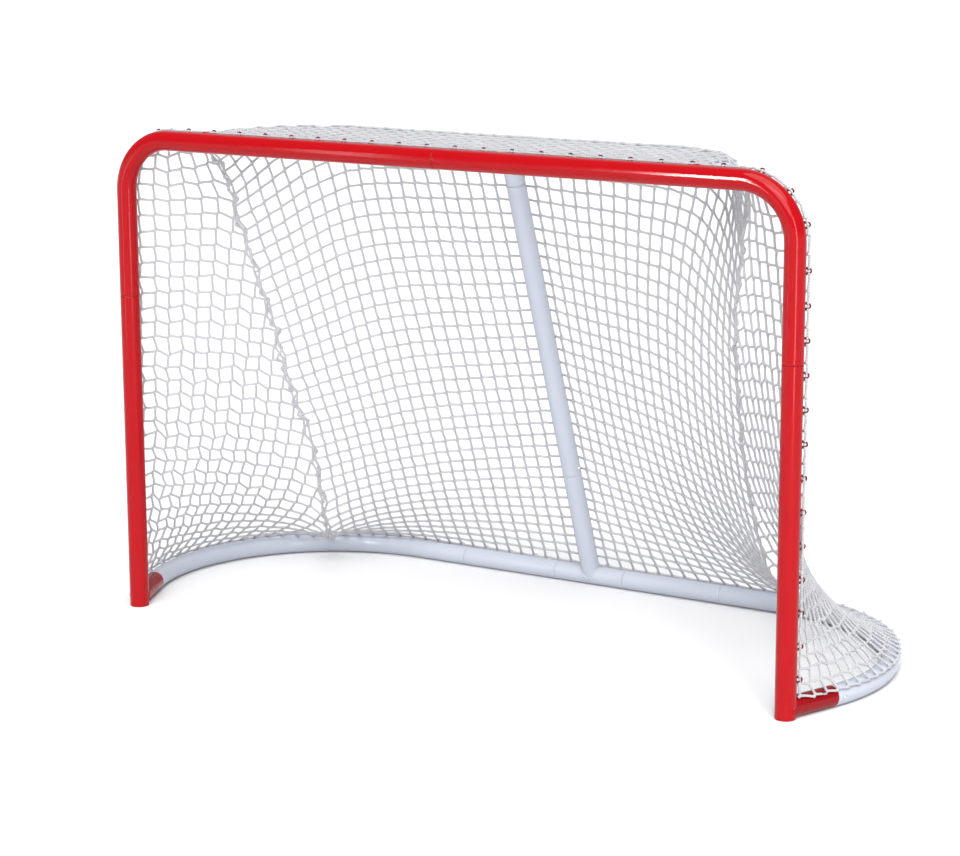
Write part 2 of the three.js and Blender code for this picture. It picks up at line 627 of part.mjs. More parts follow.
// The laced seam between a side panel and the main panel, from the top shelf down to the base.
// It hangs inwards of a straight line because the net is slack.
const NET_FOOT_Z = TUBE_DIAMETER + NET_FOOT_RISE;
const SEAM_FOOT = basePlace(1, BASE_STUB_LENGTH + BASE_RADIUS * rad(BASE_STUB_ANGLE + SEAM_FOOT_ANGLE));
const seamLine = new THREE.CatmullRomCurve3([
  new THREE.Vector3(740, 116, 1194),
  new THREE.Vector3(724, 178, 1065),
  new THREE.Vector3(694, 211, 913),
  new THREE.Vector3(675, 262, 755),
  new THREE.Vector3(664, 318, 580),
  new THREE.Vector3(655, 385, 435),
  new THREE.Vector3(660, 436, 305),
  new THREE.Vector3(678, 490, 180),
  netFoot(SEAM_FOOT),
]);

function netFoot(place) {
  return place.point.clone().addScaledVector(place.outward, NET_FOOT_OUT).setZ(NET_FOOT_Z);
}

function mirrored(point, side) {
  point.x *= side;
  return point;
}

// Side panel: from the post and the corner across to the seam, its lower edge on the base curve.
function netSide(side) {
  const postBack = R + SIDE_NET_BACK;
  const postTop = new THREE.Vector3(POST_X - SIDE_NET_INSET, postBack, BEND_START_Z);
  const bentShare = 1 - SIDE_NET_STRAIGHT_SHARE;
  const frontEdge = (t) => {
    const bottom = new THREE.Vector3(POST_X + SIDE_NET_FOOT_OUT, postBack, NET_FOOT_Z);
    if (t > bentShare) {
      return bottom.lerp(postTop, (1 - t) / SIDE_NET_STRAIGHT_SHARE);
    }
    const angle = rad(SIDE_NET_BEND) * (bentShare - t) / bentShare;
    const x = BEND_START_X + (CORNER_RADIUS - SIDE_NET_INSET) * Math.cos(angle);
    const z = BEND_START_Z + (CORNER_RADIUS - SIDE_NET_DROP) * Math.sin(angle);
    return new THREE.Vector3(x, postBack, z);
  };
  const place = (u, v) => {
    const reach = THREE.MathUtils.lerp(SIDE_NET_FIRST, SIDE_NET_LAST, u);
    const chord = frontEdge(v).lerp(seamLine.getPointAt(v), reach);
    const foot = netFoot(basePlace(1, THREE.MathUtils.lerp(SIDE_NET_FOOT_START, SEAM_FOOT.s, reach)));
    const flat = frontEdge(1).lerp(seamLine.getPointAt(1), reach);
    return mirrored(chord.addScaledVector(foot.sub(flat), v ** SIDE_NET_FOOT_PULL), side);
  };
  const outwardHint = () => new THREE.Vector3(side, 0.4, 0);
  addPart(`net_side_${sideName(side)}`, skin(8, 12, place, outwardHint), netCord);
}

// Point of the shelf's centre line, t from -1 (left stub) to 1 (right stub).
function shelfPlace(t) {
  const lead = SHELF_ARC_CENTRE_Y - SHELF_NET_START;
  const arc = SHELF_BEND_RADIUS * Math.PI / 2;
  const total = lead + arc + SHELF_ARC_CENTRE_X;
  const s = (1 - Math.abs(t)) * total;
  const side = Math.sign(t) || 1;
  let point;
  let outward;
  if (s < lead) {
    point = new THREE.Vector3(SHELF_HALF_WIDTH, SHELF_NET_START + s, SHELF_Z);
    outward = new THREE.Vector3(1, 0, 0);
  } else if (s < lead + arc) {
    const angle = (s - lead) / SHELF_BEND_RADIUS;
    outward = new THREE.Vector3(Math.cos(angle), Math.sin(angle), 0);
    point = new THREE.Vector3(SHELF_ARC_CENTRE_X, SHELF_ARC_CENTRE_Y, SHELF_Z);
    point.addScaledVector(outward, SHELF_BEND_RADIUS);
  } else {
    point = new THREE.Vector3(total - s, SHELF_DEPTH, SHELF_Z);
    outward = new THREE.Vector3(0, 1, 0);
  }
  return { point: mirrored(point, side), outward: mirrored(outward, side) };
}

// Main panel: laid back over the top shelf, bent round its rear tube and hung down to the base.
function netMain() {
  const lift = R + NET_OVER_SHELF;
  const topRows = 2;
  const bendRows = 3;
  const dropRows = 9;
  const rows = topRows + bendRows + dropRows;
  const rearSpan = BASE_HALF_LENGTH - SEAM_FOOT.s;
  const place = (u, v) => {
    const t = (2 * u - 1) * MAIN_NET_REACH;
    const row = Math.round(v * rows);
    const shelf = shelfPlace(t);
    const crown = shelf.point.clone().addScaledVector(UP, lift);
    if (row <= topRows) {
      const front = new THREE.Vector3(t * SHELF_HALF_WIDTH, lift, SHELF_Z + lift);
      return front.lerp(crown, row / topRows);
    }
    if (row <= topRows + bendRows) {
      const angle = (row - topRows) / bendRows * Math.PI / 2;
      const point = shelf.point.clone().addScaledVector(UP, lift * Math.cos(angle));
      return point.addScaledVector(shelf.outward, lift * Math.sin(angle));
    }
    const drop = (row - topRows - bendRows) / dropRows;
    const top = shelf.point.clone().addScaledVector(shelf.outward, lift);
    const side = Math.sign(t) || 1;
    const foot = mirrored(netFoot(basePlace(1, BASE_HALF_LENGTH - Math.abs(t) * rearSpan)), side);
    const line = top.clone().lerp(foot, drop);
    const edgeTop = mirrored(shelfPlace(1).point.addScaledVector(new THREE.Vector3(1, 0, 0), lift), side);
    const edgeFoot = mirrored(netFoot(SEAM_FOOT), side);
    const straightEdge = edgeTop.lerp(edgeFoot, drop);
    const seam = mirrored(seamLine.getPointAt(drop), side);
    const fade = THREE.MathUtils.smoothstep(drop, 0.04, 0.4) * Math.abs(t) ** MAIN_NET_SEAM_PULL;
    return line.addScaledVector(seam.sub(straightEdge), fade);
  };
  const outwardHint = (point) => new THREE.Vector3(0, point.y > SHELF_DEPTH ? 1 : 0.3, 0.8);
  addPart('net_main', skin(24, rows, place, outwardHint), netCord);
}

buildJoints();
for (const side of [-1, 1]) {
  lowerPost(side);
  corner(side);
  baseCurve(side);
  baseRear(side);
  shelfBend(side);
  footPlug(side);
  netSide(side);
}
baseTee();
shelfTee();
braceTube();
netMain();

export default goal;
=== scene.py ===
"""Knock-down steel ice hockey goal with its cord net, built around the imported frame.

Metres, +Z up, in the row's frame. The frame says where the tubes and their joints are. Every tube,
hook and screw and every cord of the net is a fine mesh that stands for its CAD node.
"""
import math

import bpy
import numpy as np
from mathutils import Matrix, Vector


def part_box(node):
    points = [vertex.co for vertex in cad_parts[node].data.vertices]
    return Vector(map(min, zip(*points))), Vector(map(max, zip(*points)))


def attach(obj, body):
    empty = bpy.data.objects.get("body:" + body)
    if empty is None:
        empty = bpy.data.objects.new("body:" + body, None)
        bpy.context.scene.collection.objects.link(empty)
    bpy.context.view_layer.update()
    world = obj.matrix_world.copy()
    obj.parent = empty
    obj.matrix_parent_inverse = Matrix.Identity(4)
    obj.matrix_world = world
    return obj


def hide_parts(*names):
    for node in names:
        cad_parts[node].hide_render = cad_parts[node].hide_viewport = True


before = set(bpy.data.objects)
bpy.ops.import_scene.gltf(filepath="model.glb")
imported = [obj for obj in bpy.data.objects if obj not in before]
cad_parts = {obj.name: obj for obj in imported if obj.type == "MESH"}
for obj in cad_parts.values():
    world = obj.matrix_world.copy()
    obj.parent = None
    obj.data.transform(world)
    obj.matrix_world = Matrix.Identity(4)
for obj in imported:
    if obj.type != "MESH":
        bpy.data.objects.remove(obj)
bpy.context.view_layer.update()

# ---- sizes of the frame ----
TUBE = 0.0254  # outer radius of every frame tube
BORE = 0.0234
CORNER_RADIUS = 0.135
BASE_STUB_ANGLE = math.radians(22)
BASE_STUB_LENGTH = 0.150
SHELF_HALF_WIDTH = 0.690
SHELF_STUB_START = 0.008
SHELF_STUB_LENGTH = 0.075
STUB_LEVEL = 0.020  # the shelf stub is level for this much at its front, then eases down
SHELF_BEND_RADIUS = 0.240
BRACE_LOWER_SEAM = 0.330  # along the brace, from the base tube's centre
BRACE_UPPER_STUB = 0.100  # along the brace, from the shelf tube's centre
JOINT_GAP = 0.0005
TUBE_SIDES = 64
BEND_STEP = math.radians(2.5)
STRAIGHT_STEP = 0.06
LIP = ((0.0, 0.0013), (0.0003, 0.0006), (0.0009, 0.0001), (0.0016, 0.0))  # from the end, radius lost
WEAR_REACH = 0.006  # paint wears this far from a tube's end
BARE_END = 1.0  # wear of a tube's end, where the paint is rubbed off in patches
RED_HOOK_SHADE = 2.0  # wear value that paints the red hooks darker, as painted shade
STUB_SHADE = 1.45  # wear value that paints the red base stubs darker, as painted shade, nearly half way to the hooks' shade
WHITE_HOOK_WEAR = 0.25

HOOK_PITCH = 0.079
POST_HOOK_PITCH = 0.0795
LOWEST_POST_HOOK = 0.0935
FIRST_HOOK_OVER_SEAM = 0.0535
CORNER_HOOK_ANGLES = (15, 45, 75)
BASE_HOOK_START = 0.100
HOOK_LEAN_FRAME = math.radians(35)
HOOK_LEAN_BASE = math.radians(45)
HOOK_WIRE = 0.002  # radius
HOOK_SIDES = 8
HOOK_HALF_FOOT = 0.007
HOOK_OUTLINE = (  # along the tube and out of its surface, in millimetres
    (-9.6, 0.9), (-8.2, 1.2), (-6.4, 1.5), (-5.0, 2.8), (-4.3, 4.8), (-4.7, 7.2), (-4.6, 9.4),
    (-3.2, 11.2), (0.0, 12.0),
)
SCREW_OFFSET = 0.017
SCREW_PROFILE = (  # height over the tube's surface and radius, in millimetres
    (-10.0, 0.2), (-10.0, 2.4), (-9.4, 2.8), (0.4, 2.8), (0.4, 5.2), (1.4, 5.2), (2.4, 4.6),
    (3.1, 3.4), (3.4, 2.2), (3.4, 1.9), (1.9, 1.8), (1.9, 0.2),
)
MM = 0.001
WELD_RADIUS = 0.0023
WELD_POINTS = 96
WELD_RIPPLES = 32

# ---- sizes of the net ----
CORD = 0.0031  # radius
KNOT_SWELL, BAR_SWELL = 1.22, 0.96  # of the cord's radius, at a knot and between knots
CELL = 0.0396  # bar of the square mesh
NET_LIFT = 0.0065  # from a tube's surface to the cord that its hooks hold
SEAM_ANGLE = math.radians(58)  # round the base curve, where the laced seam ends
SEAM_TOP_X = 0.800  # where the seam leaves the crossbar
MAIN_COLUMNS = 42
MAIN_ROWS = 44
MAIN_SEAM_ROWS = (0, 11.3, MAIN_ROWS)  # the seam gathers the upper rows
MAIN_SEAM_SHARES = (0, 0.236, 1)
SIDE_ROWS = 33
SIDE_BEND_ROWS = 4  # rows of a side panel that start round the corner bend
SIDE_TOP_CELLS = 4
SIDE_BEND_CELLS = 7
SIDE_CELL = 0.0412  # a side panel is stretched a little more by its lacing
SIDE_CELL_GAIN = 0.483  # cells that each row of a side panel has more than the one above
SIDE_BEND_ANGLE = math.radians(62)  # round the bend, where a side panel's first row starts
SIDE_FRONT_TOP = 1.125  # heights of a side panel's first and last rows on the post
SIDE_FRONT_FOOT = 0.052
SHELF_SAG = 0.030  # of the top net, under its hooks
SIDE_FOOT_START = 0.034  # along the base, from the post
SIDE_CROWDING = 0.15  # of a side panel's rows, lower down the post
MAIN_JOINT, SIDE_JOINT = 0.0016, 0.0032  # half the length of the joint at each knot
MAIN_CRUMPLE, SIDE_CRUMPLE = 0.05, 0.30  # how far slack bars swing; 1 is all that they can
SEAM_LINE = (  # X, distance behind the goal line and height of the right seam
    (SEAM_TOP_X, 0.018, 1.270), (0.791, 0.055, 1.254), (0.770, 0.110, 1.218), (0.747, 0.150, 1.172),
    (0.724, 0.178, 1.065), (0.694, 0.211, 0.913), (0.675, 0.262, 0.755), (0.664, 0.318, 0.580),
    (0.655, 0.385, 0.435), (0.660, 0.436, 0.305), (0.678, 0.490, 0.180), (0.722, 0.580, 0.085),
)
SEAM_ACROSS = (-0.76, 0.65, 0.0)  # from the right seam towards the main panel
SEAM_STEP = 0.011  # the seam steps sideways where a side panel gains a cell
SEAM_SPREAD = 0.004  # each panel's edge stands this far from the seam line
LACE_SWING = 1.7 * SEAM_SPREAD  # of the lacing cord, to either side of the seam
LACE_DEPTH = 0.004
SIDE_BEND_SHARE = 0.148  # of the seam, that a side panel's first rows take
LACE_TURNS = MAIN_ROWS + MAIN_ROWS // 2
RANDOM_SEED = 7
NET_STEPS = 2200  # of the relaxing
NET_DAMPING = 0.96  # share of its speed that a knot keeps in a step
NET_WEIGHT = 1.5e-5  # how far a free knot falls in its first step
CORD_PULL, CORD_PUSH = 0.95, 0.015  # share of a bar's stretch or slack put right in a step
CORD_STIFFNESS = 0.05
CORD_WAVE = 0.0004  # of a cord, off the line through its knots
SHELF_CLEAR_START = 0.04  # behind the goal line, where the net is kept off the shelf
SHELF_NET_START = 0.06  # behind the goal line, where the net first lies on the shelf
CLEAR = TUBE + CORD  # from a tube's centre line to that of a cord on it
SHELF_REACH = 0.11  # the net can touch the shelf down to this far below its centre

# ---- colours, lights and camera ----
# the dark red is both the rubbed paint at tube ends and the painted shade on the red hooks and stubs
RED, RED_WORN_AND_SHADE = (0.335, 0.002, 0.005), (0.06, 0.005, 0.008)
WHITE, WORN_WHITE = (0.445, 0.472, 0.538), (0.25, 0.26, 0.30)
ZINC = (0.66, 0.68, 0.70)
BLACK = (0.012, 0.012, 0.014)
CORD_WHITE, CORD_GROOVE_SHADE = (0.47, 0.47, 0.488), (0.30, 0.30, 0.322)
FLOOR, FLOOR_DARK, FLOOR_LIGHT = (0.72, 0.72, 0.725), (0.715, 0.715, 0.72), (0.73, 0.73, 0.735)
FLOOR_HALF = 90.0
SKY = (0.95, 0.97, 1.0)
SKY_STRENGTH, HORIZON_STRENGTH = 0.30, 1.05
HORIZON_LOW, HORIZON_HIGH = 0.02, 0.12  # heights in the sky where the pale horizon fades
CAMERA_PLACE = (3.40747, -5.48734, 2.00552)  # from the goal line's middle, on the floor
CAMERA_YAW = math.radians(30.935)
CAMERA_PITCH = math.radians(-12.402)
CAMERA_ROLL = math.radians(-0.204)
CAMERA_LENS = 101.46
SENSOR_WIDTH = 36

UP = np.array([0.0, 0.0, 1.0])
BACK = np.array([0.0, 1.0, 0.0])
RIGHT = np.array([1.0, 0.0, 0.0])
SIDE_PLANE = np.array([0.35, 0.94, 0.0])  # a direction that no column of a side panel runs along
LACE_PLANE = np.array([0.3, 0.9, 0.3])


def middle(node):
    low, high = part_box(node)
    return (np.array(low) + np.array(high)) / 2


# ---- places of the joints, from the frame ----
BAR = middle("crossbar_sleeve")
GOAL_Y = BAR[1]
BAR_Z = BAR[2]
POST_X = middle("foot_plug_right")[0]
POST_SEAM_Z = middle("post_right_sleeve")[2]
REAR_SEAM_X = middle("base_rear_right_sleeve")[0]
TEE_HALF, REAR_Y, BASE_Z = middle("base_tee_right_sleeve")
SHELF_TEE_HALF, SHELF_Y, SHELF_Z = middle("shelf_tee_right_sleeve")
BEND_X = POST_X - CORNER_RADIUS
BEND_Z = BAR_Z - CORNER_RADIUS
STUB_SIN = math.sin(BASE_STUB_ANGLE)
STUB_COS = math.cos(BASE_STUB_ANGLE)
BASE_RADIUS = (REAR_Y - GOAL_Y - BASE_STUB_LENGTH * STUB_COS) / (1 + STUB_SIN)
BASE_ARC = np.array([
    POST_X + BASE_STUB_LENGTH * STUB_SIN - BASE_RADIUS * STUB_COS,
    GOAL_Y + BASE_STUB_LENGTH * STUB_COS + BASE_RADIUS * STUB_SIN,
    BASE_Z,
])
BASE_ARC_LENGTH = BASE_RADIUS * (math.pi / 2 + BASE_STUB_ANGLE)
BASE_HALF_LENGTH = BASE_STUB_LENGTH + BASE_ARC_LENGTH + BASE_ARC[0]
SEAM_FOOT_S = BASE_STUB_LENGTH + BASE_RADIUS * (BASE_STUB_ANGLE + SEAM_ANGLE)
SHELF_ARC_X = SHELF_HALF_WIDTH - SHELF_BEND_RADIUS
SHELF_ARC_Y = SHELF_Y - SHELF_BEND_RADIUS
BASE_MIDDLE = np.array([0.0, REAR_Y, BASE_Z])
SHELF_MIDDLE = np.array([0.0, SHELF_Y, SHELF_Z])
BRACE_LENGTH = np.linalg.norm(SHELF_MIDDLE - BASE_MIDDLE)
BRACE_UP = (SHELF_MIDDLE - BASE_MIDDLE) / BRACE_LENGTH


# ---- vectors and routes ----
def unit(v):
    v = np.asarray(v, float)
    return v / np.linalg.norm(v, axis=-1, keepdims=True)


def safe_unit(v):
    """The unit vector, or zero where v is zero."""
    return v / np.maximum(np.linalg.norm(v, axis=-1, keepdims=True), 1e-9)


def turned(v, axis, angle):
    """v turned about axis, by Rodrigues' formula."""
    c, s = math.cos(angle), math.sin(angle)
    return v * c + np.cross(axis, v) * s + axis * np.dot(axis, v) * (1 - c)


def lean(outward, towards, angle):
    return outward * math.cos(angle) + towards * math.sin(angle)


def route(start, heading, *moves):
    """Points along a centre line. A move is a length, or (angle, radius, axis) for a bend."""
    here, ahead = np.array(start, float), unit(heading)
    points = [here]
    for move in moves:
        if not isinstance(move, tuple):
            steps = max(1, math.ceil(move / STRAIGHT_STEP))
            points += [here + ahead * move * (i + 1) / steps for i in range(steps)]
            here = points[-1]
            continue
        angle, radius, axis = move
        arm = np.cross(axis, ahead) * radius
        centre = here + arm
        steps = math.ceil(angle / BEND_STEP)
        points += [centre + turned(-arm, axis, angle * (i + 1) / steps) for i in range(steps)]
        here = points[-1]
        ahead = turned(ahead, axis, angle)
    return np.array(points)


def smooth_line(points, parts):
    """A Catmull-Rom line through the points, with that many parts between each two."""
    p = np.vstack([2 * points[0] - points[1], points, 2 * points[-1] - points[-2]])
    t = np.arange(parts)[:, None] / parts
    a, b, c, d = (p[i:len(p) - 3 + i, None] for i in range(4))
    line = b + 0.5 * t * (c - a + t * (2 * a - 5 * b + 4 * c - d + t * (3 * (b - c) + d - a)))
    return np.vstack([line.reshape(-1, 3), points[-1:]])


def lengths_along(line):
    return np.concatenate([[0], np.cumsum(np.linalg.norm(np.diff(line, axis=0), axis=1))])


def between(wanted, lengths, values):
    """The vectors in values, which belong to lengths, at the wanted lengths."""
    return np.stack([np.interp(wanted, lengths, values[:, k]) for k in range(3)], -1)


def at_shares(line, shares):
    """Points of a line at the given shares of its length."""
    lengths = lengths_along(line)
    return between(np.asarray(shares) * lengths[-1], lengths, line)


def outline_point(side, s, start, turn, stub, centre, radius, rear_y, total):
    """A place s along half of a U-shaped centre line: a stub that leans out by turn from straight
    back, an arc and a straight rear. Gives the point, its outward side and its heading."""
    if s < stub:
        outward = np.array([math.cos(turn), -math.sin(turn), 0])
        along = np.array([math.sin(turn), math.cos(turn), 0])
        point = start + along * s
    elif s < stub + radius * (math.pi / 2 + turn):
        angle = (s - stub) / radius - turn
        outward = np.array([math.cos(angle), math.sin(angle), 0])
        along = np.array([-math.sin(angle), math.cos(angle), 0])
        point = centre + outward * radius
    else:
        outward, along = BACK, -RIGHT
        point = np.array([total - s, rear_y, centre[2]])
    mirror = np.array([side, 1, 1])
    return point * mirror, outward * mirror, along * mirror


def base_point(side, s):
    """The base's centre line at s from the post."""
    start = np.array([POST_X, GOAL_Y, BASE_Z])
    shape = (start, BASE_STUB_ANGLE, BASE_STUB_LENGTH, BASE_ARC, BASE_RADIUS, REAR_Y, BASE_HALF_LENGTH)
    return outline_point(side, s, *shape)


# ---- meshes: every shell is (vertices, quads, uv of each quad's corners, wear and painted shade) ----
def spokes(across, other, angle):
    """Unit vectors at each angle, from across towards other."""
    return np.cos(angle)[:, None] * across[..., None, :] + np.sin(angle)[:, None] * other[..., None, :]


def spokes_across(heading, plane, angle):
    """Unit vectors at right angles to heading, which never points along plane."""
    across = unit(np.cross(heading, plane))
    return spokes(across, np.cross(across, heading), angle)


def full_turn(count):
    return 2 * np.pi * np.arange(count) / count


def rings_along(points, radii, sides, plane):
    """Rings of points round a route; plane is a direction that the route never runs along."""
    heading = unit(np.gradient(points, axis=0))
    angle = 2 * np.pi * (np.arange(sides) / sides)
    return points[:, None] + radii[:, None, None] * spokes_across(heading, plane, angle)


def shell(rings, closed=False, wear_and_shade=None):
    """The skin over a row of rings. An open row gets flat ends, a closed one joins up."""
    count, sides = rings.shape[:2]
    last = count if closed else count - 1
    i, k = np.meshgrid(np.arange(last), np.arange(sides), indexing="ij")
    ahead, beside = (i + 1) % count, (k + 1) % sides
    quads = np.stack([i * sides + k, i * sides + beside, ahead * sides + beside, ahead * sides + k], -1)
    centres = rings.mean(1)
    steps = np.linalg.norm(np.diff(centres, axis=0, append=centres[:1]), axis=1)
    along = np.concatenate([[0], np.cumsum(steps)])
    u, v = k / sides, along[i]
    u_next, v_next = (k + 1) / sides, along[i + 1]
    uv = np.stack([np.stack(c, -1) for c in ((u, v), (u_next, v), (u_next, v_next), (u, v_next))], -2)
    quads, uv = quads.reshape(-1, 4), uv.reshape(-1, 4, 2)
    if not closed:
        fan = np.array([[0, m, m + 1, m + 2] for m in range(1, sides - 2, 2)])
        caps = np.vstack([fan[:, ::-1], fan + (count - 1) * sides])
        quads = np.vstack([quads, caps])
        uv = np.vstack([uv, np.zeros((len(caps), 4, 2))])
    if wear_and_shade is None:
        wear_and_shade = np.zeros(count)
    return rings.reshape(-1, 3), quads, uv, np.repeat(wear_and_shade, sides)


def in_scene(name, data):
    obj = bpy.data.objects.new(name, data)
    bpy.context.scene.collection.objects.link(obj)
    return obj


def piece(name, shells, material, slot, *replaced):
    """One visible object from its shells, riding on the frame and standing for CAD nodes."""
    starts = np.cumsum([0] + [len(s[0]) for s in shells])
    vertices = np.vstack([s[0] for s in shells])
    quads = np.vstack([s[1] + start for s, start in zip(shells, starts)])
    mesh = bpy.data.meshes.new(name)
    mesh.vertices.add(len(vertices))
    mesh.vertices.foreach_set("co", vertices.astype(np.float32).ravel())
    mesh.loops.add(quads.size)
    mesh.loops.foreach_set("vertex_index", quads.astype(np.int32).ravel())
    mesh.polygons.add(len(quads))
    mesh.polygons.foreach_set("loop_start", np.arange(0, quads.size, 4, dtype=np.int32))
    layer = mesh.uv_layers.new(name="along")
    layer.data.foreach_set("uv", np.vstack([s[2] for s in shells]).astype(np.float32).ravel())
    # wear values, and past BARE_END painted shade, for the paint
    worn_and_shaded = mesh.attributes.new("wear_and_shade", "FLOAT", "POINT")
    worn_and_shaded.data.foreach_set("value", np.concatenate([s[3] for s in shells]).astype(np.float32))
    mesh.update(calc_edges=True)
    mesh.validate()
    mesh.shade_smooth()
    mesh.set_sharp_from_angle(angle=math.radians(50))
    mesh.materials.append(material)
    obj = in_scene(name, mesh)
    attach(obj, "root")
    if replaced:
        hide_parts(*replaced)
    return obj


def cope(origin, heading, directions, radius, main_point, main_axis, least):
    """How far along heading each line of a tube runs before it leaves the main tube."""
    a, b = (
        v - main_axis * np.sum(v * main_axis, axis=-1, keepdims=True)
        for v in (origin + directions * radius - main_point, heading)
    )
    half = a @ b
    inside = half ** 2 - (b @ b) * (np.sum(a * a, -1) - TUBE ** 2)
    reach = (-half + np.sqrt(np.maximum(inside, 0))) / (b @ b)
    return np.maximum(np.where(inside > 0, reach, least), least)


def tube_shell(points, plane, coped=None, least=0.0, shade_level=0.0):
    """A walled tube with rounded lips. coped is (point, axis) of the tube that its start fits, least the
    least distance that the start stands off, and the last argument a wear value that paints shade over the
    whole tube."""
    heading = unit(np.gradient(points, axis=0))
    steps = lengths_along(points)
    total = steps[-1]
    ends = [] if coped else [d for d, _ in LIP] + [WEAR_REACH]
    tail = [total - d for d, _ in LIP] + [total - WEAR_REACH]
    near = [s for s in steps if LIP[-1][0] * 2 < s < total - LIP[-1][0] * 2]
    stations = np.array(sorted(set(([0.0] if coped else ends) + near + tail)))
    centres = between(stations, steps, points)
    ahead = unit(between(stations, steps, heading))
    around = spokes_across(ahead, plane, full_turn(TUBE_SIDES))
    lost = np.zeros(len(stations))
    # every ring gets the tube's painted shade, as a wear value
    wear_and_shade = np.full(len(stations), shade_level)
    for from_end in [total - stations] if coped else [total - stations, stations]:
        for distance, drop in LIP:
            here = np.isclose(from_end, distance, atol=1e-6)
            lost[here] = drop
            wear_and_shade[here] = BARE_END
    outer = centres[:, None] + (TUBE - lost)[:, None, None] * around
    inner = centres[:, None] + BORE * around
    if coped:
        for skin, radius in ((outer, TUBE), (inner, BORE)):
            reach = cope(centres[0], ahead[0], around[0], radius, *coped, least)
            skin[0] += reach[:, None] * ahead[0]
    rings = np.vstack([outer, inner[::-1]])
    return shell(rings, closed=True, wear_and_shade=np.concatenate([wear_and_shade, wear_and_shade[::-1]]))


def weld_shell(origin, heading, plane, main_point, main_axis, least=0.0):
    """The rippled bead round a tube that is welded to another one."""
    angle = full_turn(WELD_POINTS)
    around = spokes_across(heading, plane, angle)
    reach = cope(origin, heading, around, TUBE, main_point, main_axis, least)
    middle_line = origin + around * (TUBE + WELD_RADIUS * 0.1) + reach[:, None] * heading
    ripple = WELD_RADIUS * (1 + 0.12 * np.sin(angle * WELD_RIPPLES) + 0.06 * np.sin(angle * 7 + 1))
    ahead = unit(np.roll(middle_line, -1, 0) - np.roll(middle_line, 1, 0))
    side = unit(np.cross(ahead, around))
    out = np.cross(side, ahead)
    rings = middle_line[:, None] + ripple[:, None, None] * spokes(side, out, full_turn(10))
    rings[..., 2] = np.maximum(rings[..., 2], 0.0)  # a bead at the base stays on the ice
    return shell(rings, closed=True)


def hook_shell(point, along, out, wear_and_shade=WHITE_HOOK_WEAR):
    """An omega of bent wire, welded on by its two feet."""
    half = np.array(HOOK_OUTLINE) * MM
    outline = np.vstack([half, (half * [-1, 1])[-2::-1]])
    line = point + outline[:, :1] * along + (TUBE + outline[:, 1:]) * out
    line = smooth_line(line, 2)
    radii = np.full(len(line), HOOK_WIRE)
    radii[[0, -1]] *= 0.55                                # the ends are rounded off
    weld = 1 + 0.3 * np.exp(-((np.arange(len(line)) - 4) / 2.5) ** 2)
    radii *= weld * weld[::-1]                            # the welds thicken the feet
    rings = rings_along(line, radii, HOOK_SIDES, np.cross(along, out))
    return shell(rings, wear_and_shade=np.full(len(line), wear_and_shade))


def lathe_shell(base, axis, profile, sides=28):
    """Turned shape: profile is (height along axis, radius) pairs, from below to above."""
    across = unit(np.cross(axis, RIGHT if abs(axis[0]) < 0.7 else UP))
    other = np.cross(axis, across)
    around = spokes(across, other, full_turn(sides))
    rings = np.array([base + axis * height + around * radius for height, radius in profile])
    return shell(rings)


# ---- materials ----
def set_inputs(node, values):
    for name, value in values.items():
        node.inputs[name].default_value = value


def new_material(name, colour, roughness, metallic=0.0, specular=0.5):
    material = bpy.data.materials.new(name)
    material.use_nodes = True
    tree = material.node_tree
    shader = tree.nodes["Principled BSDF"]
    set_inputs(shader, {"Base Color": (*colour, 1), "Roughness": roughness})
    set_inputs(shader, {"Metallic": metallic, "Specular IOR Level": specular})
    return material, tree, shader


def noise(tree, scale, detail=3.0, roughness=0.5):
    place = tree.nodes.new("ShaderNodeTexCoord")
    texture = tree.nodes.new("ShaderNodeTexNoise")
    set_inputs(texture, {"Scale": scale, "Detail": detail, "Roughness": roughness})
    tree.links.new(place.outputs["Object"], texture.inputs["Vector"])
    return texture.outputs["Fac"]


def ramp(tree, source, low, high, low_value=0.0, high_value=1.0):
    """source from low to high, as a value from low_value to high_value."""
    node = tree.nodes.new("ShaderNodeMapRange")
    set_inputs(node, {"From Min": low, "From Max": high, "To Min": low_value, "To Max": high_value})
    tree.links.new(source, node.inputs["Value"])
    return node.outputs["Result"]


def fill(tree, socket, value):
    """Gives a socket a number, a colour or another node's output."""
    if isinstance(value, bpy.types.NodeSocket):
        tree.links.new(value, socket)
    else:
        socket.default_value = (*value, 1) if isinstance(value, tuple) else value


def math_node(tree, kind, *values):
    node = tree.nodes.new("ShaderNodeMath")
    node.operation = kind
    for socket, value in zip(node.inputs, values):
        fill(tree, socket, value)
    return node.outputs[0]


def mix_colour(tree, factor, first, second):
    node = tree.nodes.new("ShaderNodeMix")
    node.data_type = "RGBA"
    for key, value in (("Factor", factor), (6, first), (7, second)):
        fill(tree, node.inputs[key], value)
    return node.outputs[2]


def bump(tree, shader, height, strength, distance):
    node = tree.nodes.new("ShaderNodeBump")
    set_inputs(node, {"Strength": strength, "Distance": distance})
    tree.links.new(height, node.inputs["Height"])
    tree.links.new(node.outputs["Normal"], shader.inputs["Normal"])


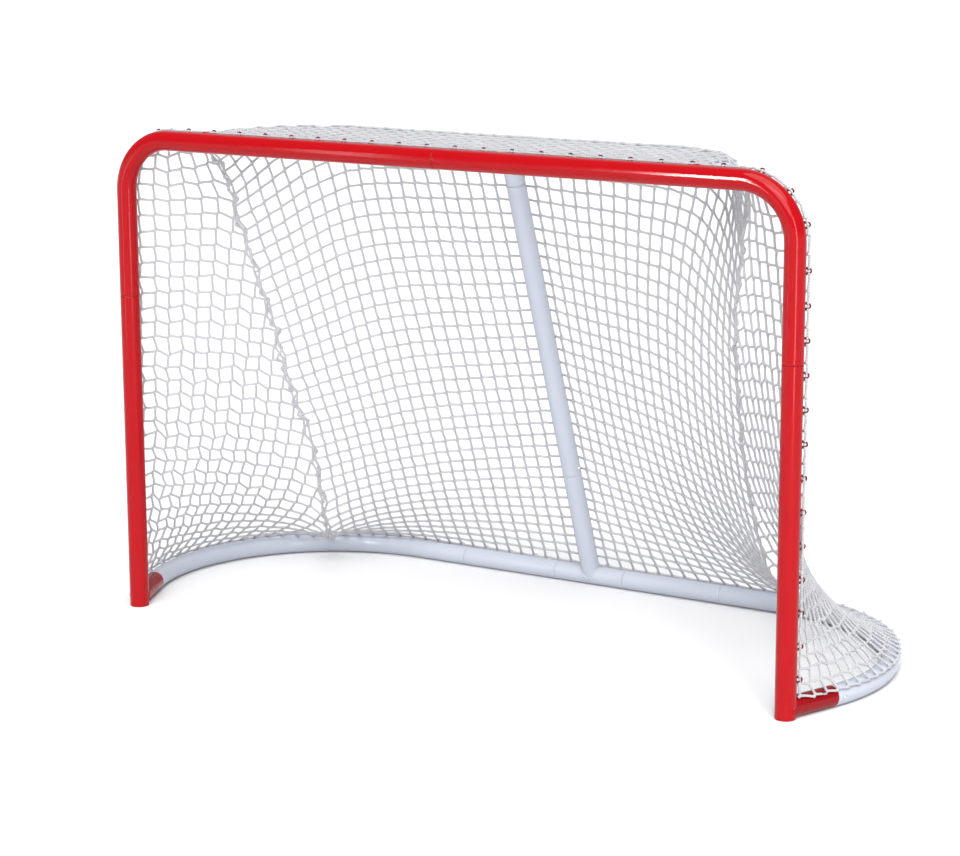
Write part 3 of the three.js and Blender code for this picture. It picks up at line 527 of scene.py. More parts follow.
def paint(name, colour, worn_and_shade_colour, roughness):
    """Gloss paint on steel: orange peel, faint clouds, scuffs and bare patches by wear, and painted shade
    where the wear value passes BARE_END.
    """
    material, tree, shader = new_material(name, colour, roughness, specular=0.19)
    cloud = ramp(tree, noise(tree, 9.0, 4.0), 0.3, 0.7)
    darker = tuple(c * 0.985 for c in colour)
    body = mix_colour(tree, cloud, darker, colour)
    wear_and_shade = tree.nodes.new("ShaderNodeAttribute")
    wear_and_shade.attribute_name = "wear_and_shade"
    patches = ramp(tree, noise(tree, 240.0, 5.0, 0.65), 0.55, 0.66, 0.0, 0.35)
    at_ends = ramp(tree, wear_and_shade.outputs["Fac"], 0.0, BARE_END)
    # wear values past BARE_END darken the colour towards the dark red, as painted shade
    shade_amount = ramp(tree, wear_and_shade.outputs["Fac"], BARE_END, RED_HOOK_SHADE, 0.0, 0.9)
    worn_and_shaded = math_node(tree, "MAXIMUM", math_node(tree, "MULTIPLY", at_ends, patches), shade_amount)
    scuffs = ramp(tree, noise(tree, 60.0, 8.0, 0.7), 0.74, 0.80, 0.0, 0.10)
    shown = math_node(tree, "MAXIMUM", worn_and_shaded, scuffs)
    tree.links.new(mix_colour(tree, shown, body, worn_and_shade_colour), shader.inputs["Base Color"])
    smear = noise(tree, 25.0, 6.0, 0.6)
    gloss = ramp(tree, smear, 0.3, 0.7, roughness * 0.85, roughness * 1.2)
    tree.links.new(gloss, shader.inputs["Roughness"])
    bump(tree, shader, noise(tree, 420.0, 2.0), 0.05, 0.0006)
    return material


def metal(name, colour):
    """Zinc plate: cloudy spangle and fine scratches."""
    material, tree, shader = new_material(name, colour, 0.35, metallic=1.0)
    spangle = ramp(tree, noise(tree, 300.0, 3.0), 0.35, 0.65)
    darker = tuple(c * 0.78 for c in colour)
    tree.links.new(mix_colour(tree, spangle, darker, colour), shader.inputs["Base Color"])
    rough = ramp(tree, noise(tree, 900.0, 4.0), 0.3, 0.7, 0.28, 0.46)
    tree.links.new(rough, shader.inputs["Roughness"])
    bump(tree, shader, noise(tree, 1400.0, 2.0), 0.08, 0.0002)
    return material


def plastic(name, colour):
    """Moulded plastic with a fine grain."""
    material, tree, shader = new_material(name, colour, 0.55)
    cloud = ramp(tree, noise(tree, 40.0), 0.3, 0.7)
    paler = tuple(min(1, c * 1.5) for c in colour)
    tree.links.new(mix_colour(tree, cloud, colour, paler), shader.inputs["Base Color"])
    bump(tree, shader, noise(tree, 2500.0, 2.0), 0.2, 0.0002)
    return material


def braided_cord(name, colour, shade, strands, lay):
    """Braided polyester cord. The uv map runs round the cord and, in metres, along it."""
    material, tree, shader = new_material(name, colour, 0.78, specular=0.3)
    set_inputs(shader, {"Sheen Weight": 0.25, "Sheen Roughness": 0.5})
    place = tree.nodes.new("ShaderNodeUVMap")
    place.uv_map = "along"
    parts = tree.nodes.new("ShaderNodeSeparateXYZ")
    tree.links.new(place.outputs["UV"], parts.inputs[0])
    round_it = math_node(tree, "MULTIPLY", parts.outputs[0], 2 * math.pi * strands)
    along = math_node(tree, "MULTIPLY", parts.outputs[1], 2 * math.pi / lay)
    one_way = math_node(tree, "SINE", math_node(tree, "ADD", round_it, along))
    other_way = math_node(tree, "SINE", math_node(tree, "SUBTRACT", round_it, along))
    braid = math_node(tree, "MAXIMUM", one_way, other_way)
    fibre = noise(tree, 1500.0, 3.0)
    height = math_node(tree, "ADD", braid, math_node(tree, "MULTIPLY", fibre, 0.6))
    bump(tree, shader, height, 0.45, 0.0004)
    # the grooves between the strands get painted shade
    groove_shade = ramp(tree, braid, -0.2, 0.7)
    cloud = ramp(tree, noise(tree, 14.0, 4.0), 0.35, 0.65)
    dusty = tuple(c * 0.94 for c in colour)
    clean = mix_colour(tree, cloud, dusty, colour)
    tree.links.new(mix_colour(tree, groove_shade, shade, clean), shader.inputs["Base Color"])
    return material


red_paint = paint("red_gloss_paint", RED, RED_WORN_AND_SHADE, 0.11)
white_paint = paint("white_gloss_paint", WHITE, WORN_WHITE, 0.12)
zinc = metal("zinc_plate", ZINC)
black_plastic = plastic("black_plastic", BLACK)
net_cord = braided_cord("white_braided_cord", CORD_WHITE, CORD_GROOVE_SHADE, 2, 0.007)


# ---- frame tubes ----
def side_name(side):
    return "left" if side < 0 else "right"


def painted(node, shells, material=white_paint, slot="white_paint"):
    piece(f"{node}_painted", shells, material, slot, node)


def base_hooks(side, start, end, wear_and_shade=WHITE_HOOK_WEAR):
    shells = []
    clear = HOOK_HALF_FOOT + 2 * HOOK_WIRE
    for s in np.arange(BASE_HOOK_START, BASE_HALF_LENGTH - clear, HOOK_PITCH):
        if start + clear <= s <= end - clear:
            point, outward, along = base_point(side, s)
            shells.append(hook_shell(point, along, lean(UP, outward, HOOK_LEAN_BASE), wear_and_shade))
    return shells


def frame_hook(point, outward, along):
    # the red hooks get painted shade
    return hook_shell(point, along, lean(outward, BACK, HOOK_LEAN_FRAME), RED_HOOK_SHADE)


def lower_post(side):
    foot = np.array([side * POST_X, GOAL_Y, 0.0])
    post = route(foot, UP, POST_SEAM_Z - JOINT_GAP / 2)
    start, _, along = base_point(side, 0.0)
    stub = start + np.array([0.0, 0.08, BASE_STUB_LENGTH - JOINT_GAP / 2])[:, None] * along
    shells = [
        tube_shell(post, BACK),
        # the stub gets painted shade over its whole length
        tube_shell(stub, UP, coped=(foot, UP), shade_level=STUB_SHADE),
        weld_shell(start, along, UP, foot, UP),
    ]
    for z in np.arange(LOWEST_POST_HOOK, POST_SEAM_Z - HOOK_HALF_FOOT, POST_HOOK_PITCH):
        shells.append(frame_hook(foot + UP * z, RIGHT * side, UP))
    # the hooks on the stub get the same painted shade
    shells += base_hooks(side, 0.0, BASE_STUB_LENGTH, RED_HOOK_SHADE)
    node = f"post_lower_{side_name(side)}"
    painted(node, shells, red_paint, "red_paint")


def upper_corner(side):
    start = np.array([side * POST_X, GOAL_Y, POST_SEAM_Z + JOINT_GAP / 2])
    bend = (math.pi / 2, CORNER_RADIUS, -BACK * side)
    bar = route(start, UP, BEND_Z - start[2], bend, BEND_X - JOINT_GAP / 2)
    stub_start = np.array([side * SHELF_HALF_WIDTH, GOAL_Y, BAR_Z])
    lengths = np.append(0.0, np.linspace(0.029, SHELF_STUB_LENGTH - JOINT_GAP / 2, 9))
    drop = np.clip((lengths - STUB_LEVEL) / (SHELF_STUB_LENGTH - 0.026), 0, 1)
    drop = (BAR_Z - SHELF_Z) * drop * drop * (3 - 2 * drop)      # the stub eases down to the shelf
    stub = stub_start + lengths[:, None] * BACK - drop[:, None] * UP
    crossbar = (BAR, RIGHT)
    shells = [
        tube_shell(bar, BACK),
        tube_shell(stub, UP, coped=crossbar, least=SHELF_STUB_START),
        weld_shell(stub_start, BACK, UP, *crossbar, least=SHELF_STUB_START),
    ]
    for i in range(3):
        z = POST_SEAM_Z + FIRST_HOOK_OVER_SEAM + i * POST_HOOK_PITCH
        shells.append(frame_hook(np.array([side * POST_X, GOAL_Y, z]), RIGHT * side, UP))
    for angle in np.radians(CORNER_HOOK_ANGLES):
        radial = np.array([side * math.cos(angle), 0, math.sin(angle)])
        point = np.array([side * BEND_X, GOAL_Y, BEND_Z]) + radial * CORNER_RADIUS
        shells.append(frame_hook(point, radial, np.array([-radial[2] * side, 0, abs(radial[0])])))
    for x in np.arange(HOOK_PITCH / 2, BEND_X - HOOK_PITCH / 2, HOOK_PITCH):
        shells.append(frame_hook(np.array([side * x, GOAL_Y, BAR_Z]), UP, RIGHT))
    node = f"corner_{side_name(side)}"
    painted(node, shells, red_paint, "red_paint")


def base_tube(name, side, line, first, last):
    """A tube of the base, with its hooks between two places along the base."""
    shells = [tube_shell(line, UP)] + base_hooks(side, first, last)
    painted(f"{name}_{side_name(side)}", shells)


def base_curve(side):
    start, _, along = base_point(side, BASE_STUB_LENGTH + JOINT_GAP / 2)
    bend = (math.pi / 2 + BASE_STUB_ANGLE, BASE_RADIUS, UP * side)
    line = route(start, along, bend, BASE_ARC[0] - REAR_SEAM_X - JOINT_GAP)
    base_tube("base_curve", side, line, BASE_STUB_LENGTH, BASE_HALF_LENGTH - REAR_SEAM_X)


def base_rear(side):
    start = np.array([side * (REAR_SEAM_X - JOINT_GAP / 2), REAR_Y, BASE_Z])
    line = route(start, -RIGHT * side, REAR_SEAM_X - TEE_HALF - JOINT_GAP)
    base_tube("base_rear", side, line, BASE_HALF_LENGTH - REAR_SEAM_X, BASE_HALF_LENGTH - TEE_HALF)


def tee(name, centre, half, heading, lengths, hooks):
    """A straight tube with the end of the brace welded on, which runs along heading."""
    half -= JOINT_GAP / 2
    bar = route(centre - RIGHT * half, RIGHT, 2 * half)
    stub = centre + np.array(lengths)[:, None] * heading
    shells = [
        tube_shell(bar, UP),
        tube_shell(stub, RIGHT, coped=(centre, RIGHT)),
        weld_shell(centre, heading, RIGHT, centre, RIGHT),
    ]
    painted(name, shells + hooks)


def base_tee():
    first = BASE_HALF_LENGTH - TEE_HALF
    hooks = base_hooks(-1, first, BASE_HALF_LENGTH) + base_hooks(1, first, BASE_HALF_LENGTH)
    lengths = (0.0, 0.09, BRACE_LOWER_SEAM - JOINT_GAP / 2)
    tee("base_tee", BASE_MIDDLE, TEE_HALF, BRACE_UP, lengths, hooks)


def shelf_tee():
    lengths = (0.0, 0.06, BRACE_UPPER_STUB - JOINT_GAP / 2)
    tee("shelf_tee", SHELF_MIDDLE, SHELF_TEE_HALF, -BRACE_UP, lengths, [])


def shelf_bend(side):
    start = np.array([side * SHELF_HALF_WIDTH, GOAL_Y + SHELF_STUB_LENGTH + JOINT_GAP / 2, SHELF_Z])
    bend = (math.pi / 2, SHELF_BEND_RADIUS, UP * side)
    line = route(start, BACK, SHELF_ARC_Y - start[1], bend, SHELF_ARC_X - SHELF_TEE_HALF - JOINT_GAP / 2)
    node = f"shelf_bend_{side_name(side)}"
    painted(node, [tube_shell(line, UP)])


def brace():
    start = BASE_MIDDLE + BRACE_UP * (BRACE_LOWER_SEAM + JOINT_GAP / 2)
    line = route(start, BRACE_UP, BRACE_LENGTH - BRACE_LOWER_SEAM - BRACE_UPPER_STUB - JOINT_GAP)
    painted("brace_tube", [tube_shell(line, RIGHT)])


def joint_places():
    """(name, centre, heading into the second tube, the side that its screw is on)."""
    yield "crossbar", BAR, RIGHT, BACK
    for side in (-1, 1):
        label = side_name(side)
        yield f"post_{label}", np.array([side * POST_X, GOAL_Y, POST_SEAM_Z]), UP, BACK
        point, outward, along = base_point(side, BASE_STUB_LENGTH)
        yield f"base_front_{label}", point, along, outward
        for name, x in (("rear", REAR_SEAM_X), ("tee", TEE_HALF)):
            yield f"base_{name}_{label}", np.array([side * x, REAR_Y, BASE_Z]), -RIGHT * side, BACK
        shelf = np.array([side * SHELF_HALF_WIDTH, GOAL_Y + SHELF_STUB_LENGTH, SHELF_Z])
        yield f"shelf_front_{label}", shelf, BACK, -UP
        yield f"shelf_tee_{label}", np.array([side * SHELF_TEE_HALF, SHELF_Y, SHELF_Z]), -RIGHT * side, -UP
    yield "brace_lower", BASE_MIDDLE + BRACE_UP * BRACE_LOWER_SEAM, BRACE_UP, RIGHT
    yield "brace_upper", SHELF_MIDDLE - BRACE_UP * BRACE_UPPER_STUB, BRACE_UP, RIGHT


def screws():
    profile = [(height * MM, radius * MM) for height, radius in SCREW_PROFILE]
    for name, centre, ahead, out in joint_places():
        seat = centre + ahead * SCREW_OFFSET + out * TUBE
        piece(f"{name}_pan_screw", [lathe_shell(seat, out, profile)], zinc, "zinc_steel", f"{name}_screw")


def finish_hidden_nodes():
    for name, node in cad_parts.items():
        if name.endswith("_sleeve"):
            look = zinc
        elif name.startswith("foot_plug"):
            look = black_plastic
        else:
            continue
        node.data.materials.clear()
        node.data.materials.append(look)


# ---- the net ----
def foot_cord(side, s):
    """Where the hooks hold the net's lower edge."""
    point, outward, _ = base_point(side, s)
    return point + lean(UP, outward, HOOK_LEAN_BASE) * (TUBE + NET_LIFT)


def seam_step(shares):
    """A side panel's edge keeps to a cord for a row or two, then steps out to the next one."""
    rows = np.arange(SIDE_ROWS + 1)
    part = SIDE_CELL_GAIN * np.maximum(rows - SIDE_BEND_ROWS, 0) % 1
    step = SEAM_STEP * (1 - 2 * part) * (rows > SIDE_BEND_ROWS) * np.minimum(1, (SIDE_ROWS - rows) / 8)
    return np.interp(shares, side_seam_shares(rows), step)


def side_seam_shares(rows):
    return np.interp(rows, (0, SIDE_BEND_ROWS, SIDE_ROWS), (0, SIDE_BEND_SHARE, 1))


def seam_points(side, shares, offset):
    points = [np.array(p) + BACK * GOAL_Y for p in SEAM_LINE]
    line = smooth_line(np.array(points + [foot_cord(1, SEAM_FOOT_S)]), 12)
    offset = offset + seam_step(shares)
    placed = at_shares(line, shares) + unit(SEAM_ACROSS) * offset[..., None]
    return placed * np.array([side, 1, 1])


def bar_cord(x):
    """Where the hooks hold the net's upper edge, on the crossbar."""
    return np.array([x, GOAL_Y, BAR_Z]) + lean(UP, BACK, HOOK_LEAN_FRAME) * (TUBE + NET_LIFT)


def plan_gap(points, half_width, back, radius):
    """Signed distance, in plan, out of a U-shaped centre line, and the way out of it."""
    side = np.where(points[..., 0] < 0, -1.0, 1.0)
    x = points[..., 0] * side
    y = points[..., 1]
    centre_x, centre_y = half_width - radius, back - radius
    dx, dy = x - centre_x, y - centre_y
    corner = (dx > 0) & (dy > 0)
    reach = np.maximum(np.hypot(dx, dy), 1e-9)
    on_side = (dy <= 0) & (dx > 0) | (dx > dy)
    gap = np.where(corner, reach - radius, np.where(on_side, x - half_width, y - back))
    out_x = np.where(corner, dx / reach, np.where(on_side, 1.0, 0.0))
    out_y = np.where(corner, dy / reach, np.where(on_side, 0.0, 1.0))
    return gap, np.stack([out_x * side, out_y, np.zeros_like(x)], -1)


def clear_shelf(points, free):
    """The net goes over the top shelf and down outside of it."""
    gap, out = plan_gap(points, SHELF_HALF_WIDTH, SHELF_Y, SHELF_BEND_RADIUS)
    rise = points[..., 2] - SHELF_Z
    reach = np.maximum(np.hypot(gap, rise), 1e-9)
    over = (gap > 0) & (rise > 0) & (reach < CLEAR)
    beside = (gap > -0.04) & (rise <= 0) & (rise > -SHELF_REACH) & (gap < CLEAR)
    within = (gap <= 0) & (rise > -SHELF_REACH) & ~beside & (rise < CLEAR - SHELF_SAG)
    behind = points[..., 1] > GOAL_Y + SHELF_CLEAR_START
    sideways = np.where(over, gap * (CLEAR / reach - 1), np.where(beside, CLEAR - gap, 0)) * free * behind
    lift = np.where(over, rise * (CLEAR / reach - 1), np.where(within, CLEAR - SHELF_SAG - rise, 0))
    edge = (gap <= 0) & (gap > -0.018) & (rise > -0.02) & (rise < CLEAR)
    lift = np.where(edge, CLEAR - rise, lift) * free * behind
    points += out * sideways[..., None] + UP * lift[..., None]


def clear_base(points, free):
    """The net stays over the base tube and the ice."""
    x = np.abs(points[..., 0])
    side = np.where(points[..., 0] < 0, -1.0, 1.0)
    dx, dy = x - BASE_ARC[0], points[..., 1] - BASE_ARC[1]
    reach = np.maximum(np.hypot(dx, dy), 1e-9)
    straight = dx < 0
    gap = np.where(straight, points[..., 1] - REAR_Y, reach - BASE_RADIUS)
    out_x = np.where(straight, 0.0, dx / reach) * side
    out_y = np.where(straight, 1.0, dy / reach)
    rise = np.maximum(points[..., 2] - BASE_Z, 0.35 * TUBE)
    away = np.maximum(np.hypot(gap, rise), 1e-9)
    inside = np.where(away < CLEAR, CLEAR / away, 1.0)
    sideways = gap * (inside - 1) * free
    lift = (rise * inside - (points[..., 2] - BASE_Z)) * free * (away < CLEAR)
    points += np.stack([out_x * sideways, out_y * sideways, lift], -1)
    points[..., 2] += np.maximum(CORD - points[..., 2], 0) * free


def clear_brace(points, free):
    """The net hangs behind the brace."""
    rear = np.array([0.0, BRACE_UP[2], -BRACE_UP[1]])
    depth = (points - BASE_MIDDLE) @ rear
    need = np.sqrt(np.maximum(CLEAR ** 2 - points[..., 0] ** 2, 0)) * (np.abs(points[..., 0]) < CLEAR)
    below_shelf = points[..., 2] < SHELF_Z
    short = np.where((depth < need) & (need > 0), need - depth, 0) * free * below_shelf
    points += rear * short[..., None]


def clear_tubes(points, free):
    for clear in (clear_shelf, clear_base, clear_brace):
        clear(points, free)


def pull_edges(a, b, free_a, free_b, real, rest):
    """Cords hold their length: they can't stretch, and hardly push."""
    reach = b - a
    length = np.maximum(np.linalg.norm(reach, axis=-1), 1e-6)
    excess = length - rest
    strength = np.where(excess > 0, CORD_PULL, CORD_PUSH) * real / np.maximum(free_a + free_b, 1e-6)
    move = reach * (strength * excess / length)[..., None]
    a += move * free_a[..., None]
    b -= move * free_b[..., None]


def relax(grid, free, real, generator, cell=CELL):
    """Lets a hooked panel of netting hang. grid is rows x columns of knots; free is 0 where held."""
    previous = grid.copy()
    rest = [cell * (1 + 0.02 * generator.standard_normal(free.shape)) for _ in range(2)]
    for _ in range(NET_STEPS):
        move = (grid - previous) * NET_DAMPING
        previous = grid.copy()
        grid += free[..., None] * (move - UP * NET_WEIGHT)
        for axis in (0, 1):
            g, f, r, n = (np.swapaxes(x, 0, 1) if axis else x for x in (grid, free, real, rest[axis]))
            for first in (0, 1):
                last = first + 2 * ((g.shape[0] - first) // 2)
                a, b = slice(first, last, 2), slice(first + 1, last, 2)
                pull_edges(g[a], g[b], f[a], f[b], r[a] * r[b], n[a])
            bend = (g[:-2] + g[2:]) / 2 - g[1:-1]
            whole = (r[:-2] * r[2:] * f[1:-1])[..., None]
            g[1:-1] += CORD_STIFFNESS * bend * whole
        clear_tubes(grid, free)
    return grid


def shelf_outline(t):
    """The shelf tube's centre line, t from -1 to 1, and its outward side."""
    start = np.array([SHELF_HALF_WIDTH, GOAL_Y + SHELF_NET_START, SHELF_Z])
    centre = np.array([SHELF_ARC_X, SHELF_ARC_Y, SHELF_Z])
    lead = SHELF_ARC_Y - GOAL_Y - SHELF_NET_START
    total = lead + SHELF_BEND_RADIUS * math.pi / 2 + SHELF_ARC_X
    shape = (start, 0.0, lead, centre, SHELF_BEND_RADIUS, SHELF_Y, total)
    return outline_point(1 if t >= 0 else -1, (1 - abs(t)) * total, *shape)[:2]


def main_panel(generator):
    shares = np.arange(MAIN_ROWS + 1) / MAIN_ROWS
    seam_shares = np.interp(np.arange(MAIN_ROWS + 1), MAIN_SEAM_ROWS, MAIN_SEAM_SHARES)
    wander = SEAM_SPREAD * (1 + 0.9 * np.sin(np.arange(MAIN_ROWS + 1) * 1.9))
    wander[[0, -1]] = 0
    grid = np.zeros((MAIN_ROWS + 1, MAIN_COLUMNS + 1, 3))
    for i in range(MAIN_COLUMNS + 1):
        t = 2 * i / MAIN_COLUMNS - 1
        side = 1 if t >= 0 else -1
        shelf, outward = shelf_outline(t)
        foot = foot_cord(side, BASE_HALF_LENGTH - abs(t) * (BASE_HALF_LENGTH - SEAM_FOOT_S))
        turn = [lean(UP, outward, a) * CLEAR for a in np.radians((0, 30, 60, 90))]
        line = np.array([bar_cord(t * SEAM_TOP_X)] + [shelf + v for v in turn] + [foot])
        grid[:, i] = at_shares(line, shares)
    left_gap = seam_points(-1, seam_shares, wander) - grid[:, 0]
    right_gap = seam_points(1, seam_shares, wander) - grid[:, -1]
    t = np.linspace(-1, 1, MAIN_COLUMNS + 1)[None, :, None]
    grid += np.where(t < 0, left_gap[:, None], right_gap[:, None]) * np.abs(t) ** 4
    free = np.ones(grid.shape[:2])
    free[[0, -1]] = 0
    free[:, [0, -1]] = 0
    real = np.ones_like(free)
    return crumple(relax(grid, free, real, generator), free, CELL, MAIN_CRUMPLE, generator), real


def round_corner(angle):
    """Where the hooks hold the net on the corner bend."""
    radial = np.array([math.cos(angle), 0, math.sin(angle)])
    point = np.array([BEND_X, GOAL_Y, BEND_Z]) + radial * CORNER_RADIUS
    return point + lean(radial, BACK, HOOK_LEAN_FRAME) * (TUBE + NET_LIFT)


def side_front(row):
    """Where a side panel's front edge is held: round the corner bend, then down the post."""
    down = (row - SIDE_BEND_ROWS) / (SIDE_ROWS - SIDE_BEND_ROWS)
    if down < 0:
        top = math.asin((SIDE_FRONT_TOP - BEND_Z) / CORNER_RADIUS)
        turn = (SIDE_BEND_ANGLE - top) * -down / SIDE_BEND_ROWS * (SIDE_ROWS - SIDE_BEND_ROWS)
        return round_corner(top + turn)
    down += SIDE_CROWDING * down * (1 - down)
    height = SIDE_FRONT_TOP + (SIDE_FRONT_FOOT - SIDE_FRONT_TOP) * down
    if height > BEND_Z:
        return round_corner(math.asin((height - BEND_Z) / CORNER_RADIUS))
    return np.array([POST_X, GOAL_Y, height]) + lean(RIGHT, BACK, HOOK_LEAN_FRAME) * (TUBE + NET_LIFT)


def side_panel(side, generator):
    """A side panel: its vertical cords start where the seam crosses them."""
    rows = np.arange(SIDE_ROWS + 1)
    added = (SIDE_CELL_GAIN * np.maximum(rows - SIDE_BEND_ROWS, 0)).astype(int)
    cells = np.minimum(SIDE_TOP_CELLS + rows, SIDE_BEND_CELLS) + added
    most = cells[-1]
    shares = rows / SIDE_ROWS
    seam_shares = side_seam_shares(rows)
    wander = -SEAM_SPREAD * (1 + 0.5 * np.sin(rows * 2.3))
    wander[[0, -1]] = 0
    seam = seam_points(1, seam_shares, wander)
    grid = np.zeros((SIDE_ROWS + 1, most + 1, 3))
    real = np.zeros(grid.shape[:2])
    free = np.zeros_like(real)
    for row in rows:
        count = cells[row]
        share = np.arange(count + 1) / count
        if row == 0:
            angles = np.linspace(SIDE_BEND_ANGLE, math.pi / 2, count)
            line = np.array([round_corner(a) for a in angles] + [seam[0]])
        elif row == SIDE_ROWS:
            lengths = SIDE_FOOT_START + share * (SEAM_FOOT_S - SIDE_FOOT_START)
            line = np.array([foot_cord(1, s) for s in lengths])
            line[0] = side_front(row)
        else:
            line = side_front(row) + share[:, None] * (seam[row] - side_front(row))
        grid[row, :count + 1] = line
        grid[row, count + 1:] = seam[row]
        real[row, :count + 1] = 1
        free[row, 1:count] = 1
    free[[0, -1]] = 0
    straight = grid[-1, :1] + (grid[-1, -1:] - grid[-1, :1]) * np.linspace(0, 1, most + 1)[:, None]
    grid += (grid[-1] - straight)[None] * (shares ** 5 * (shares < 1))[:, None, None] * free[..., None]
    mirror = np.array([side, 1, 1])
    grid = relax(grid * mirror, free, real, generator, SIDE_CELL)
    return crumple(grid, free, SIDE_CELL, SIDE_CRUMPLE, generator), real


def crumple(grid, free, cell, amount, generator):
    """Slack bars don't stay straight: their knots swing to and fro along the rows and columns."""
    row, column = np.indices(free.shape)
    shift = np.zeros_like(grid)
    for axis, turn in ((0, row), (1, column)):
        bars = np.swapaxes(np.linalg.norm(np.diff(grid, axis=axis), axis=-1), 0, axis)
        length = np.full(free.shape, cell)
        np.swapaxes(length, 0, axis)[1:-1] = (bars[1:] + bars[:-1]) / 2
        slack = np.clip(1 - length / cell, 0, 0.4)
        swing = 0.5 * cell * np.sqrt(2 * slack) * amount * np.where(turn % 2, 1, -1)
        swing *= free * (1 + 0.7 * generator.standard_normal(free.shape))
        shift += swing[..., None] * safe_unit(np.gradient(grid, axis=1 - axis))
    grid = grid + shift
    clear_tubes(grid, free)
    return grid


def cord_shell(knots, plane, generator, parts=3, sides=6, joints=None):
    """One cord through its knots, a little thicker at each, with slack bars in between."""
    if joints is None:
        line = smooth_line(knots, parts)
        at_knot = np.arange(len(line)) % parts == 0
    else:
        way = np.sum(np.gradient(knots, axis=0) * joints, -1, keepdims=True)
        joints = np.where(way < 0, -joints, joints)
        start, end = knots - joints, knots + joints
        share = (np.arange(1, parts) / parts)[None, :, None]
        bars = end[:-1, None] * (1 - share) + start[1:, None] * share
        spans = np.concatenate([start[:-1, None], end[:-1, None], bars], 1)
        line = np.vstack([spans.reshape(-1, 3), start[-1:], end[-1:]])
        at_knot = np.arange(len(line)) % (parts + 1) < 2
    line[~at_knot] += CORD_WAVE * generator.standard_normal(((~at_knot).sum(), 3))
    radii = np.where(at_knot, CORD * KNOT_SWELL, CORD * BAR_SWELL)
    return shell(rings_along(line, radii, sides, plane))


def panel_shells(grid, real, joint_half, generator, row_plane=UP, column_plane=RIGHT, **detail):
    """The cords of knotless mesh: at each knot a row's and a column's cord share a short slanted joint."""
    joints = safe_unit(np.gradient(grid, axis=1)) - safe_unit(np.gradient(grid, axis=0))
    joints = joint_half * safe_unit(joints)
    shells = []
    for knots, held, joint in zip(grid, real, joints):
        shells.append(cord_shell(knots[held > 0], row_plane, generator, joints=joint[held > 0], **detail))
    for knots, held, joint in zip(np.swapaxes(grid, 0, 1), real.T, np.swapaxes(joints, 0, 1)):
        rows = np.flatnonzero(held > 0)
        span = slice(max(rows[0] - 1, 0), rows[-1] + 1)
        shells.append(cord_shell(knots[span], column_plane, generator, joints=joint[span], **detail))
    return shells


def lace_shell(side, generator):
    """The cord that is laced to and fro through the edges of two panels, down the seam."""
    turn = np.arange(LACE_TURNS)
    shares = np.linspace(0.01, 0.99, LACE_TURNS)
    swing = LACE_SWING * np.where(turn % 2, 1, -1)
    swing = swing * (1 + 0.55 * generator.standard_normal(LACE_TURNS))
    shares = shares + 0.25 / LACE_TURNS * generator.standard_normal(LACE_TURNS)
    line = seam_points(side, shares, swing)
    line += BACK * (LACE_DEPTH * np.cos(turn * math.pi / 2))[:, None]
    return cord_shell(line, LACE_PLANE * np.array([side, 1, 1]), generator, parts=4, sides=8)


def net():
    generator = np.random.default_rng(RANDOM_SEED)
    grid, real = main_panel(generator)
    shells = panel_shells(grid, real, MAIN_JOINT, generator)
    panel = piece("net_main_cords", shells, net_cord, "net_cord", "net_main")
    declare(grid, real)
    for side in (-1, 1):
        label = side_name(side)
        grid, real = side_panel(side, generator)
        shells = panel_shells(grid, real, SIDE_JOINT, generator, column_plane=SIDE_PLANE, parts=4, sides=8)
        panel = piece(f"net_side_{label}_cords", shells, net_cord, "net_cord", f"net_side_{label}")
        declare(grid, real)
        piece(f"net_lace_{label}", [lace_shell(side, generator)], net_cord, "net_cord")


def declare(grid, real):
    """Adds up the length of the sheet's cords; the sum is not used."""
    length = (np.linalg.norm(np.diff(grid, axis=1), axis=-1) * real[:, 1:] * real[:, :-1]).sum()
    length += (np.linalg.norm(np.diff(grid, axis=0), axis=-1) * real[1:] * real[:-1]).sum()


# ---- floor, lights and camera ----
def camera():
    ahead = np.array([
        -math.sin(CAMERA_YAW) * math.cos(CAMERA_PITCH),
        math.cos(CAMERA_YAW) * math.cos(CAMERA_PITCH),
        math.sin(CAMERA_PITCH),
    ])
    across = np.array([math.cos(CAMERA_YAW), math.sin(CAMERA_YAW), 0])
    above = np.cross(across, ahead)
    turned_across = turned(across, ahead, -CAMERA_ROLL)
    turned_above = turned(above, ahead, -CAMERA_ROLL)
    data = bpy.data.cameras.new("camera")
    data.lens = CAMERA_LENS
    data.sensor_width = SENSOR_WIDTH
    data.clip_end = 60
    eye = in_scene("camera", data)
    turn = Matrix([turned_across, turned_above, -ahead]).transposed()
    x, y, z = CAMERA_PLACE
    eye.matrix_world = Matrix.Translation((x, GOAL_Y + y, z)) @ turn.to_4x4()
    bpy.context.scene.camera = eye


def area_light(name, place, target, size, power, glints_only=False):
    """A soft light. One for glints only shows in the gloss of the paint and lights nothing."""
    data = bpy.data.lights.new(name, "AREA")
    data.shape = "RECTANGLE"
    data.size, data.size_y = size
    data.energy = power
    lamp = in_scene(name, data)
    lamp.location = place
    lamp.rotation_euler = (Vector(target) - Vector(place)).to_track_quat("-Z", "Y").to_euler()
    lamp.visible_diffuse = not glints_only


def sun_light(name, towards, energy, spread):
    """A far soft light; spread is its width in the sky, in degrees."""
    data = bpy.data.lights.new(name, "SUN")
    data.energy = energy
    data.angle = math.radians(spread)
    lamp = in_scene(name, data)
    lamp.rotation_euler = Vector(towards).to_track_quat("Z", "Y").to_euler()


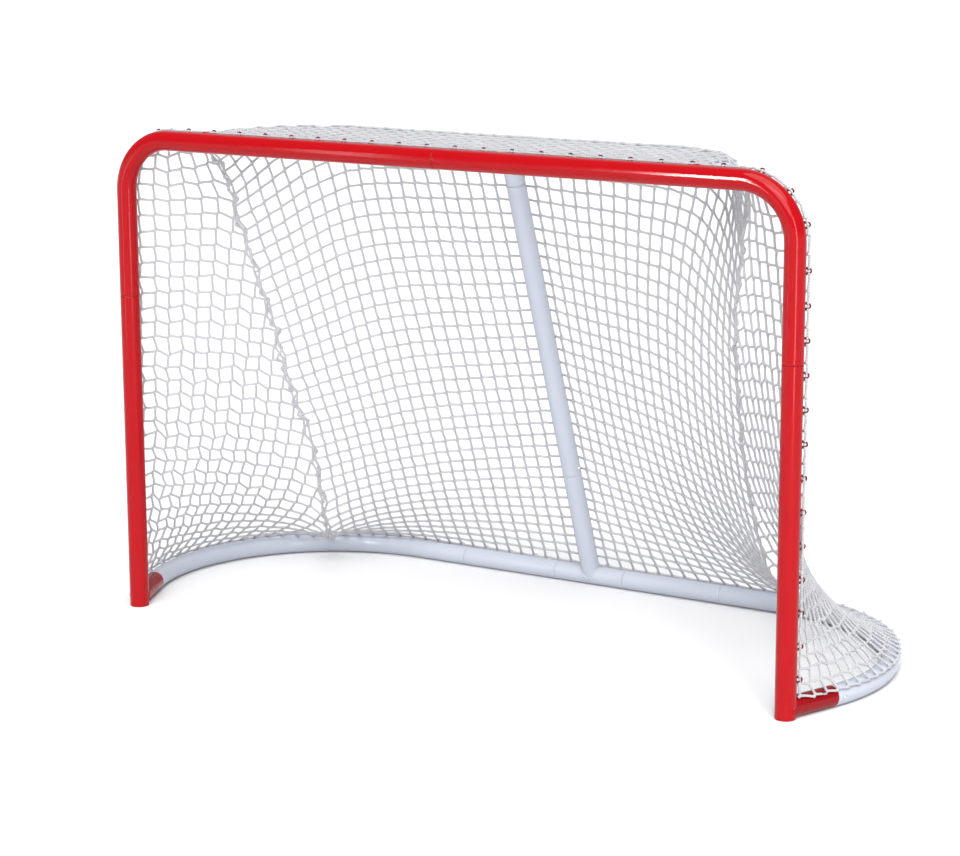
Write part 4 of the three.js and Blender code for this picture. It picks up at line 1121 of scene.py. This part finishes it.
def studio():
    """A wide pale floor under a sky that is as pale at the floor's far edge, and soft lights."""
    mesh = bpy.data.meshes.new("studio_floor")
    corners = [(x * FLOOR_HALF, y * FLOOR_HALF, 0) for x, y in ((-1, -1), (1, -1), (1, 1), (-1, 1))]
    mesh.from_pydata(corners, [], [(0, 1, 2, 3)])
    material, tree, shader = new_material("pale_floor", FLOOR, 0.9, specular=0.1)
    tint = ramp(tree, noise(tree, 0.8, 2.0), 0.3, 0.7)
    tree.links.new(mix_colour(tree, tint, FLOOR_DARK, FLOOR_LIGHT), shader.inputs["Base Color"])
    mesh.materials.append(material)
    in_scene("studio_floor", mesh)
    world = bpy.data.worlds.new("studio")
    world.use_nodes = True
    tree = world.node_tree
    background = tree.nodes["Background"]
    background.inputs["Color"].default_value = (*SKY, 1)
    place = tree.nodes.new("ShaderNodeTexCoord")
    parts = tree.nodes.new("ShaderNodeSeparateXYZ")
    tree.links.new(place.outputs["Generated"], parts.inputs[0])
    height = parts.outputs[2]
    glow = ramp(tree, height, HORIZON_LOW, HORIZON_HIGH, HORIZON_STRENGTH, SKY_STRENGTH)
    tree.links.new(glow, background.inputs["Strength"])
    bpy.context.scene.world = world
    sun_light("overhead", (0.20, -0.30, 1.0), 3.3, 60)
    sun_light("key", (0.40, -0.90, 0.70), 2.0, 40)
    sun_light("back", (-0.35, 0.90, 0.65), 0.35, 60)
    area_light("left_softbox", (-0.62, -3.4, 1.8), (0.7, -0.4, 1.24), (0.5, 1.4), 175, glints_only=True)
    area_light("right_softbox", (3.1, -2.75, 1.2), (0.9, -0.4, 1.0), (0.55, 2.3), 44)
    area_light("left_strip", (-2.4, -3.6, 1.2), (-0.9, -0.4, 1.0), (0.3, 2.3), 14)
    bpy.context.scene.view_settings.view_transform = "Standard"


camera()
for side in (-1, 1):
    lower_post(side)
    upper_corner(side)
    base_curve(side)
    base_rear(side)
    shelf_bend(side)
base_tee()
shelf_tee()
brace()
screws()
finish_hidden_nodes()
net()
studio()
